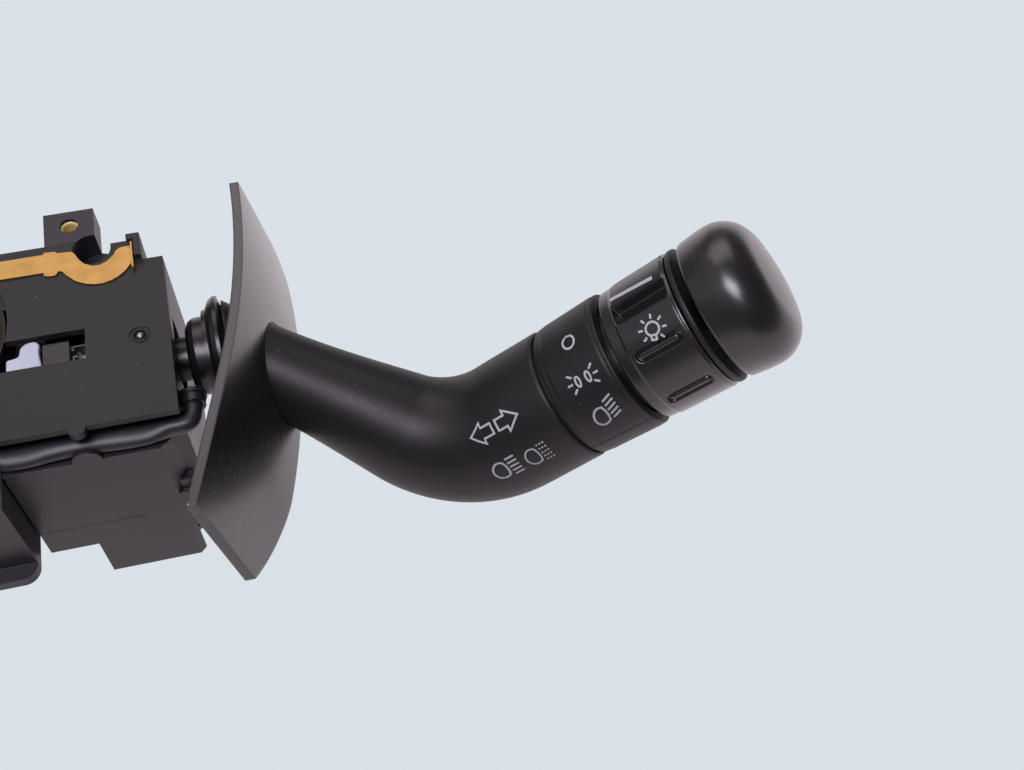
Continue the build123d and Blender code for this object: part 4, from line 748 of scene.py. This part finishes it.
def cap_wall(inset, count):
    """Half-section of the cap from its foot to its crown: wall, round shoulder and shallow dome.

    The wall narrows by the flare towards its foot, along the upper half of a smooth step. The shoulder
    is the arc that touches both the wall and the dome's circle.
    """
    radius, top, fillet = CAP_R - inset, CAP_END - inset, CAP_ROUND - inset
    centre_r = radius - fillet
    dome_z = top - CAP_DOME_R
    centre_z = dome_z + math.sqrt((CAP_DOME_R - fillet) ** 2 - centre_r**2)
    meet = math.atan2(centre_r, centre_z - dome_z)
    share = np.linspace(0, 1, 12, endpoint=False)
    narrowing = CAP_FLARE * 2 * (1 - smooth_step(share, -1, 1))
    wall_foot = CAP_START + CAP_LIP
    wall = np.stack([radius - narrowing, wall_foot + share * (centre_z - wall_foot)], 1)
    turn = np.linspace(0, math.pi / 2 - meet, count)
    shoulder = np.stack([centre_r + fillet * np.cos(turn), centre_z + fillet * np.sin(turn)], 1)
    turn = np.linspace(meet, 0, count)[1:-1]
    dome = np.stack([CAP_DOME_R * np.sin(turn), dome_z + CAP_DOME_R * np.cos(turn)], 1)
    return np.vstack([wall, shoulder, dome])


def end_cap():
    """The push cap: outer wall up to the crown, and the inner wall back down from it."""
    around = 240
    foot_r = CAP_R - CAP_FLARE
    lip_turn = np.linspace(-math.pi / 2, 0, 7)[:-1]
    lip = CAP_LIP * np.stack([np.cos(lip_turn), np.sin(lip_turn)], 1)
    outer = np.vstack([lip + (foot_r - CAP_LIP, CAP_START + CAP_LIP), cap_wall(0, 30)])
    inner = np.vstack([cap_wall(CAP_WALL, 14)[::-1], [(foot_r - CAP_WALL, CAP_START)]])
    angle = np.linspace(0, 2 * math.pi, around, endpoint=False)[None, :]
    walls = [on_grip(line[:, 1:], angle, line[:, :1]).reshape(-1, 3) for line in (outer, inner)]
    poles = [on_grip(height, 0.0, 0.0)[None] for height in (CAP_END, CAP_END - CAP_WALL)]
    first_in = len(outer) * around
    crown = first_in + len(inner) * around
    k = np.arange(around)
    n = (k + 1) % around
    top_row, last_row = first_in - around, crown - around
    faces = grid_faces(len(outer), around)
    faces += grid_faces(len(inner), around, first=first_in)
    faces += np.stack([top_row + k, top_row + n, np.full(around, crown)], 1).tolist()
    faces += np.stack([first_in + n, first_in + k, np.full(around, crown + 1)], 1).tolist()
    faces += np.stack([last_row + k, last_row + n, n, k], 1).tolist()
    points = np.vstack([*walls, *poles])
    piece = make_object("end_cap_skin", points, faces, "cap", materials["knob_plastic"])
    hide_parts("end_cap")


marking_ring()
light_knob()
end_collar()
end_cap()


# ---- under the cover's edge ----------------------------------------------------------------------
def corners_of(node):
    """A node's lowest and highest corner in millimetres."""
    low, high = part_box(node)
    return millimetres(low), millimetres(high)


def smooth_route(points, count):
    """Points at even steps along the quadratic B-spline that the route's points steer."""
    curve = bpy.data.curves.new("route", "CURVE")
    curve.dimensions = "3D"
    spline = curve.splines.new("NURBS")
    spline.points.add(len(points) - 1)
    for control, point in zip(spline.points, points):
        control.co = (*point, 1.0)
    spline.order_u = 3
    spline.use_endpoint_u = True
    spline.resolution_u = 24
    carrier = bpy.data.objects.new("route", curve)
    mesh = bpy.data.meshes.new_from_object(carrier)
    line = np.empty(len(mesh.vertices) * 3)
    mesh.vertices.foreach_get("co", line)
    bpy.data.objects.remove(carrier)
    line = line.reshape(-1, 3)
    steps = np.concatenate([[0], np.cumsum(np.linalg.norm(np.diff(line, axis=0), axis=1))])
    along = np.linspace(0, steps[-1], count)
    return np.stack([np.interp(along, steps, line[:, k]) for k in range(3)], 1)


def cable_sheath():
    """The soft sheath: an oval tube along its route, squeezed under the housing's tab and rumpled.

    Between its round ends it swells to the front. A bell curve about the tab takes some of the swell
    away, and sine waves along X rumple the front and the height.
    """
    low, high = corners_of("cable_sheath")
    y, z = low[1] + SHEATH_R, (low[2] + high[2]) / 2
    end_x = high[0] - SHEATH_R
    route = [
        (low[0], y, z),
        (end_x - 16.0, y, z),
        (end_x - 5.0, y, z),
        (end_x - 0.9, y + 0.3, z),
        (end_x, y + 3.6, z),
        (end_x, high[1], z),
    ]
    line = smooth_route(route, 220)
    ahead = np.gradient(line, axis=0)
    ahead /= np.linalg.norm(ahead, axis=1, keepdims=True)
    up = np.array([0.0, 0.0, 1.0])
    side = np.cross(up, ahead)
    x = line[:, 0]
    swollen = smooth_step(x, low[0] + 9, low[0] + 13) * (1 - smooth_step(x, end_x - 11, end_x - 5))
    squeeze = SHEATH_SQUEEZE * np.exp(-(((x - TAB_X) / TAB_REACH) ** 2))
    rumple = sum(depth * np.sin(x / wave + shift) for depth, wave, shift in SHEATH_RUMPLES)
    front = SHEATH_R + swollen * (SHEATH_SWELL - squeeze + rumple)
    back = SHEATH_R + swollen * SHEATH_BACK
    tall = SHEATH_R + swollen * (SHEATH_WAVE * np.sin(x / 2.3) - SHEATH_FLAT)
    turn = np.linspace(0, 2 * math.pi, 48, endpoint=False)[None, :]
    across = np.cos(turn)
    reach = np.where(across > 0, back[:, None], front[:, None]) * across
    height = tall[:, None] * np.sin(turn)
    grid = line[:, None] + reach[..., None] * side[:, None] + height[..., None] * up
    piece = grid_object("cable_sheath_skin", grid, "base", "sheath_rubber")
    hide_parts("cable_sheath")


def standing_plate(name, outline, low, high, edge, body, slot_name):
    """A plate of constant outline along Z whose upper rim is rounded: the outline shrinks inwards."""
    ahead = np.roll(outline, -1, 0) - np.roll(outline, 1, 0)
    inward = np.stack([-ahead[:, 1], ahead[:, 0]], 1) / np.linalg.norm(ahead, axis=1, keepdims=True)
    turn = np.linspace(0, math.pi / 2, 6)
    inset = np.concatenate([[0], edge * (1 - np.cos(turn))])
    height = np.concatenate([[low], high - edge + edge * np.sin(turn)])
    flat = outline[None] + inset[:, None, None] * inward[None]
    grid = np.concatenate([flat, np.broadcast_to(height[:, None, None], (*flat.shape[:2], 1))], -1)
    return grid_object(name, grid, body, slot_name)


def cancel_pawl():
    """The pale pawl: a finger towards the cam, a waisted body and a flared foot."""
    low, high = corners_of("cancel_pawl")
    left, right, y = low[0], high[0], (low[1] + high[1]) / 2
    corners = [
        (left, y - 4.0),
        (left + 3.4, y - 3.9),
        (right, y - 4.0),
        (right - 0.7, y + 0.6),
        (right - 0.4, y + 2.9),
        (right - 1.4, y + 4.0),
        (left + 4.6, y + 3.8),
        (left + 3.2, y + 2.6),
        (left + 2.9, y + 0.1),
        (left, y - 0.3),
    ]
    outline = resampled(rounded(corners, 0.8, 6), 0.5)
    piece = standing_plate("cancel_pawl_skin", outline, low[2], high[2], 0.5, "pawl", "slide_plastic")
    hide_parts("cancel_pawl")


def turned_on_z(name, node, profile, slot_name):
    """A closed (radius, height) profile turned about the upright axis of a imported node."""
    low, high = corners_of(node)
    x, y = (low[:2] + high[:2]) / 2
    angle = np.linspace(0, 2 * math.pi, 64, endpoint=False)[None, :]
    radius, height = profile[:, :1], profile[:, 1:]
    grid = np.stack(np.broadcast_arrays(x + radius * np.cos(angle), y + radius * np.sin(angle), height), -1)
    piece = grid_object(name, grid, "base", slot_name, close_rows=True)
    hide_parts(node)


def pivot_pin():
    """The riveted pin: a small round head in the middle of its flat end.

    The head is a quarter of an ellipse turned round. Its profile stays a hair off the axis.
    """
    low, high = corners_of("pivot_pin")
    radius, flat = (high[0] - low[0]) / 2, high[2] - PIN_FLAT
    turn = np.linspace(PIN_HAIR, math.pi / 2, 10)
    head_z = high[2] - PIN_HEAD_FOOT + PIN_HEAD_H * np.cos(turn)
    head = np.stack([PIN_HEAD_R * np.sin(turn), head_z], 1)
    end = [(radius - PIN_CHAMFER, flat), (radius, flat - PIN_CHAMFER), (radius, low[2]), (PIN_HAIR, low[2])]
    turned_on_z("pivot_pin_skin", "pivot_pin", np.vstack([head, end]), "pin_steel")


def threaded_insert():
    """The brass bush: a countersunk mouth and rings of thread, a zigzag down its bore."""
    low, high = corners_of("threaded_insert")
    outer, top = (high[0] - low[0]) / 2, high[2]
    turns = int((top - low[2] - THREAD_SPARE) / THREAD_PITCH)
    steps = np.arange(2 * turns + 1)
    thread_z = top - THREAD_START - steps * THREAD_PITCH / 2
    thread = np.stack([INSERT_BORE + THREAD_D * (steps % 2), thread_z], 1)
    mouth = [(outer, low[2]), (outer, top), (MOUTH_R, top), (MOUTH_R - 0.15, top - 0.1)]
    profile = np.vstack([mouth, thread, [(INSERT_BORE, low[2])]])
    turned_on_z("threaded_insert_skin", "threaded_insert", profile, "insert_brass")


def recess_floor():
    """The blind end of the round recess between the ear and the contact strip."""
    turn = np.linspace(0, 2 * math.pi, 72, endpoint=False)
    outline = np.stack([NOTCH_X + NOTCH_R * np.cos(turn), NOTCH_Y + NOTCH_R * np.sin(turn)], 1)
    under = NOTCH_FLOOR - NOTCH_FLOOR_T
    standing_plate("recess_floor", outline, under, NOTCH_FLOOR, 0.02, "base", "housing_plastic")


def contact_strip():
    """The earth strip: half a ring round the cover's hole, a bar with a tab, a hook and its end.

    Each arc of the ring ends at a cut, where its angle is asin(cut's Y / radius).
    """
    low, high = corners_of("horn_contact_strip")
    ring_out, end_x, base = high[1], high[0], low[2]
    ring_in = ring_out - STRIP_W
    right = math.asin(STRIP_CUT_RIGHT / ring_out)
    left = math.asin(STRIP_CUT_LEFT / ring_out)
    inner = math.asin(STRIP_CUT_LEFT / ring_in)
    turn_out = np.linspace(right, math.pi - left, 40)
    turn_in = np.linspace(math.pi - inner, inner, 40)
    ring_outside = ring_out * np.stack([np.cos(turn_out), np.sin(turn_out)], 1)
    ring_inside = ring_in * np.stack([np.cos(turn_in), np.sin(turn_in)], 1)
    hook = [
        (33.8, 12.15), (33.9, 11.2), (35.3, 10.8), (36.9, 10.9), (37.3, 11.9), (38.1, 11.9), (39.1, 10.3),
        (41.1, 8.1), (43.4, 6.75), (45.4, 6.15), (47.5, 6.05), (49.7, 6.5), (51.7, 7.6), (53.2, 8.9),
        (54.6, 10.9), (end_x, 12.0), (end_x, 16.5), (52.4, 16.4), (51.3, 15.8), (50.4, 14.2), (48.9, 12.7),
        (47.2, 11.85), (45.3, 11.95), (43.5, 13.0), (42.3, 14.6), (41.4, 16.6), (40.7, 17.5), (37.1, 17.75),
        (36.9, 18.3), (34.1, 18.5), (33.9, 17.9),
    ]
    outline = np.vstack([ring_inside, rounded(hook, 0.45, 5)[2:-2], ring_outside])
    top = base + STRIP_T
    strip = standing_plate("contact_strip_skin", outline, base, top, STRIP_EDGE, "base", "spring_bronze")
    low_y, high_y = STRIP_END_Y
    stand = [(end_x - STRIP_T, low_y), (end_x, low_y), (end_x, high_y), (end_x - STRIP_T, high_y)]
    stand = resampled(rounded(stand, 0.12), 0.5)
    end = standing_plate("contact_strip_end", stand, base, high[2], STRIP_EDGE, "base", "spring_bronze")
    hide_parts("horn_contact_strip")
    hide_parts("horn_contact_strip")


def painted_joint_shade():
    """A thin very dark strip along the joint between the housing and the lower shell, on the front wall: painted
    shade that stands for the shadow in the joint's groove.
    """
    low, _ = corners_of("lower_shell")
    left, out, into = low[0] + JOINT_INSET, low[1] - JOINT_PROUD, low[1] + JOINT_DEPTH
    outline = np.array([(left, out), (JOINT_END_X, out), (JOINT_END_X, into), (left, into)])
    # the strip stands a hair proud of the flush wall; its dark colour is painted shade, not a modelled groove
    standing_plate("painted_joint_shade", outline, *JOINT_Z, 0.03, "base", "spacer_plastic")


cable_sheath()
cancel_pawl()
pivot_pin()
threaded_insert()
recess_floor()
contact_strip()
painted_joint_shade()


# ---- printed marks -------------------------------------------------------------------------------
def ribbons(name, strokes, carry, body, width=STROKE):
    """Printed strokes: each is a flat bar of ink along its points, carried onto a curved surface.

    carry(x, y, lift) gives the point of the surface for a place in the mark's own plane. At a bend both
    edges are moved out along the mean direction's normal, so that the bar keeps its width.
    """
    points, faces, first = [], [], 0
    for stroke in strokes:
        line = np.asarray(stroke, float)
        closed = len(line) > 3 and np.allclose(line[0], line[-1])
        if closed:
            line = line[:-1]
        ahead = np.roll(line, -1, 0) - line
        behind = line - np.roll(line, 1, 0)
        if not closed:
            ahead[-1], behind[0] = behind[-1], ahead[0]
        ahead = ahead / np.linalg.norm(ahead, axis=1, keepdims=True)
        behind = behind / np.linalg.norm(behind, axis=1, keepdims=True)
        along = ahead + behind
        along /= np.linalg.norm(along, axis=1, keepdims=True)
        stretch = 1 / np.maximum((along * ahead).sum(1, keepdims=True), 0.5)
        side = np.stack([-along[:, 1], along[:, 0]], 1) * width / 2 * stretch
        edges = (side, MARK_T), (-side, MARK_T), (-side, -MARK_T), (side, -MARK_T)
        ring = np.stack([carry(*(line + offset).T, lift) for offset, lift in edges], 1)
        faces += grid_faces(len(line), 4, closed, first)
        if not closed:
            last = first + (len(line) - 1) * 4
            faces.append([first + q for q in (0, 1, 2, 3)])
            faces.append([last + q for q in (3, 2, 1, 0)])
        points.append(ring.reshape(-1, 3))
        first += len(line) * 4
    return make_object(name, np.vstack(points), faces, body, INK, smooth=False)


def turned_marks(strokes, angle):
    """Strokes turned by an angle in degrees in their own plane."""
    c, s = math.cos(math.radians(angle)), math.sin(math.radians(angle))
    spin = np.array([[c, s], [-s, c]])
    return [np.asarray(stroke, float) @ spin for stroke in strokes]


def bar(x0, y0, x1, y1, count=3):
    """A straight stroke of a few points."""
    return np.linspace((x0, y0), (x1, y1), count)


def oval(x, y, rx, ry, count=40, start=0.0, end=360.0):
    """A stroke round an ellipse, or along the part of it between two angles in degrees."""
    turn = np.radians(np.linspace(start, end, count))
    return np.stack([x + rx * np.cos(turn), y + ry * np.sin(turn)], 1)


def arrow(stem, head):
    """A hollow block arrow that starts at the gap; its tip points along x, or back if stem < 0."""
    base = math.copysign(ARROW_GAP, stem)
    neck = base + stem
    tip = neck + math.copysign(head, stem)
    corners = np.array([
        (base, HALF_STEM),
        (neck, HALF_STEM),
        (neck, HALF_WING),
        (tip, 0),
        (neck, -HALF_WING),
        (neck, -HALF_STEM),
        (base, -HALF_STEM),
        (base, HALF_STEM),
    ])
    sides = [np.linspace(start, end, 5)[:-1] for start, end in zip(corners, corners[1:])]
    return np.vstack([*sides, corners[:1]])


def lamp_outline(lean=0.0):
    """The head lamp's outline: a D whose bulge is to the left and whose flat side leans."""
    bulge = oval(0, 0, LAMP_RX, LAMP_RY, 26, 75, 285)
    flat = [(1.15, -1.95), (1.5, -0.7), (1.5, 0.7), (1.15, 1.95)]
    outline = np.vstack([bulge, flat, bulge[:1]])
    outline[:, 1] += lean * outline[:, 0]
    return outline


def lamp_rays(dashes, slope=0.0):
    """Five parallel rays beside the lamp, whole or cut into dashes."""
    length = RAY_REACH / dashes
    filled = length * (1.0 if dashes == 1 else DASH_SHARE)
    rays = []
    for row in np.linspace(RAY_TOP, -RAY_TOP, 5):
        for part in range(dashes):
            start = RAY_START + part * length
            end = start + filled
            rays.append(bar(start, row + slope * start, end, row + slope * end))
    return rays


def position_lamps():
    """Two small lamps back to back, each with three rays."""
    marks = [oval(side * 1.36, 0, 0.55, 1.2) for side in (-1, 1)]
    for side in (-1, 1):
        marks.append(bar(side * 2.75, 0, side * 4.05, 0))
        marks += [bar(side * 2.3, lift * 1.4, side * 3.4, lift * 2.3) for lift in (-1, 1)]
    return marks


def bulb():
    """A round bulb with its socket and seven rays, leaning a little."""
    socket = rounded([(-0.55, -1.4), (0.55, -1.4), (0.55, -2.5), (-0.55, -2.5)], 0.2, 6)
    marks = [oval(0, 0, 1.55, 1.55, 30, -68, 248), np.vstack([socket, socket[:1]])]
    for turn in np.radians(range(-45, 226, 45)):
        ray = np.array([math.cos(turn), math.sin(turn)])
        marks.append(bar(*(2.25 * ray), *(3.35 * ray)))
    return turned_marks(marks, -16.0)


def carried_by_stalk(length, arc):
    """Carries a mark's plane onto the stalk: x along it, y round it towards the driver's left."""
    def carry(x, y, lift):
        return on_stalk(length + x, (arc - y) / STALK_END_R, -lift)
    return carry


def carried_by_grip(height, arc, surface):
    """Carries a mark's plane onto the grip: x along its axis, y round it."""
    def carry(x, y, lift):
        return on_grip(height + x, (arc - y) / surface(height), surface(height + x) + lift)
    return carry


HEAD_LAMP = [lamp_outline(0.2), *lamp_rays(1, 0.38)]
DIPPED_BEAM = [lamp_outline(), *lamp_rays(1)]
MAIN_BEAM = [lamp_outline(), *lamp_rays(3)]
POINTER_LINE = [bar(22.6, 0.45, 33.8, -0.6, 9)]

ribbons("turn_arrows", [arrow(2.5, 3.4), arrow(-3.3, 4.4)], carried_by_stalk(85.9, -8.25), "lever")
ribbons("dipped_beam_mark", DIPPED_BEAM, carried_by_stalk(81.4, 2.15), "lever")
ribbons("main_beam_mark", MAIN_BEAM, carried_by_stalk(89.9, 2.85), "lever", width=0.4)
ribbons("off_mark", [oval(0, 0, 1.5, 1.7)], carried_by_grip(10.13, -1.03, ring_surface), "lever")
ribbons("position_lamp_mark", position_lamps(), carried_by_grip(9.95, 8.62, ring_surface), "lever")
ribbons("head_lamp_mark", HEAD_LAMP, carried_by_grip(8.8, 18.5, ring_surface), "lever")
ribbons("bulb_mark", bulb(), carried_by_grip(29.5, 6.57, knob_surface), "knob")
ribbons("pointer_line", POINTER_LINE, carried_by_grip(0, -5.25, rib_surface), "knob", width=1.1)


# ---- room, light and camera ----------------------------------------------------------------------
def pale_ground():
    """A wide pale floor well under the part, near its plain colour to the camera.

    Glossy surfaces mirror it in a warmer colour. Both are a glow mixed over the paper by the kind of ray.
    """
    half, low = FLOOR_HALF, FLOOR_Z
    corners = [(-half, -half, low), (half, -half, low), (half, half, low), (-half, half, low)]
    mesh = bpy.data.meshes.new("floor")
    mesh.from_pydata(corners, [], [(0, 1, 2, 3)])
    floor = bpy.data.objects.new("floor", mesh)
    bpy.context.scene.collection.objects.link(floor)
    finish = Finish("floor_paper", BACKDROP, 0.9)
    path = finish.add("ShaderNodeLightPath")
    direct = path.out("Is Camera Ray") + path.out("Is Transmission Ray")
    last = finish.shader.outputs[0]
    for share, colour in ((direct, BACKDROP), (path.out("Is Glossy Ray"), MIRRORED_BACKDROP)):
        glow = finish.add("ShaderNodeEmission", {}, {"Color": (*colour, 1.0), "Strength": FLOOR_GLOW})
        mix = finish.add("ShaderNodeMixShader", {}, {0: share * FLOOR_GLOW_SHARE})
        finish.tree.links.new(last, mix.node.inputs[1])
        finish.tree.links.new(glow.node.outputs[0], mix.node.inputs[2])
        last = mix.node.outputs[0]
    finish.tree.links.new(last, finish.tree.nodes["Material Output"].inputs["Surface"])
    mesh.materials.append(finish.material)


def sky():
    """Dim, slightly blue light from all round."""
    world = bpy.data.worlds.new("studio")
    world.use_nodes = True
    background = world.node_tree.nodes["Background"]
    background.inputs["Color"].default_value = (0.82, 0.82, 0.90, 1)
    background.inputs["Strength"].default_value = SKY_STRENGTH
    bpy.context.scene.world = world


def softbox(name, towards, distance, size, brightness, colour):
    """A soft lamp in a direction from the part's middle; brightness is its share of plain light."""
    light = bpy.data.lights.new(name, "AREA")
    light.shape = "RECTANGLE"
    light.size, light.size_y = size
    light.energy = brightness * math.pi**2 * distance**2
    light.color = colour
    lamp = bpy.data.objects.new(name, light)
    lamp.location = PART_MIDDLE + Vector(towards).normalized() * distance
    lamp.rotation_euler = (PART_MIDDLE - lamp.location).to_track_quat("-Z", "Y").to_euler()
    bpy.context.scene.collection.objects.link(lamp)


def camera():
    """The camera, turned to its three axes, which are first made square."""
    data = bpy.data.cameras.new("camera")
    data.sensor_width = 36
    data.sensor_fit = "HORIZONTAL"
    data.lens = CAMERA_LENS
    data.clip_start, data.clip_end = 0.01, 100
    eye = bpy.data.objects.new("camera", data)
    bpy.context.scene.collection.objects.link(eye)
    turn = Matrix((CAMERA_RIGHT, CAMERA_UP, CAMERA_BACK)).transposed()
    turn = turn.to_quaternion().to_matrix().to_4x4()
    eye.matrix_world = Matrix.Translation(Vector(CAMERA_PLACE * MM)) @ turn
    bpy.context.scene.camera = eye


pale_ground()
sky()
softbox("key", (-0.20, -0.29, 0.93), 0.62, (0.32, 0.22), 0.6, (0.93, 0.91, 1.0))
softbox("left_light", (-0.85, 0.15, 0.5), 0.8, (0.6, 0.6), 0.05, (1.0, 0.96, 0.97))
softbox("back_light", (-0.05, 0.66, 0.75), 0.8, (0.8, 0.45), 0.26, (1.0, 0.94, 0.98))
camera()
bpy.context.scene.view_settings.view_transform = "Standard"
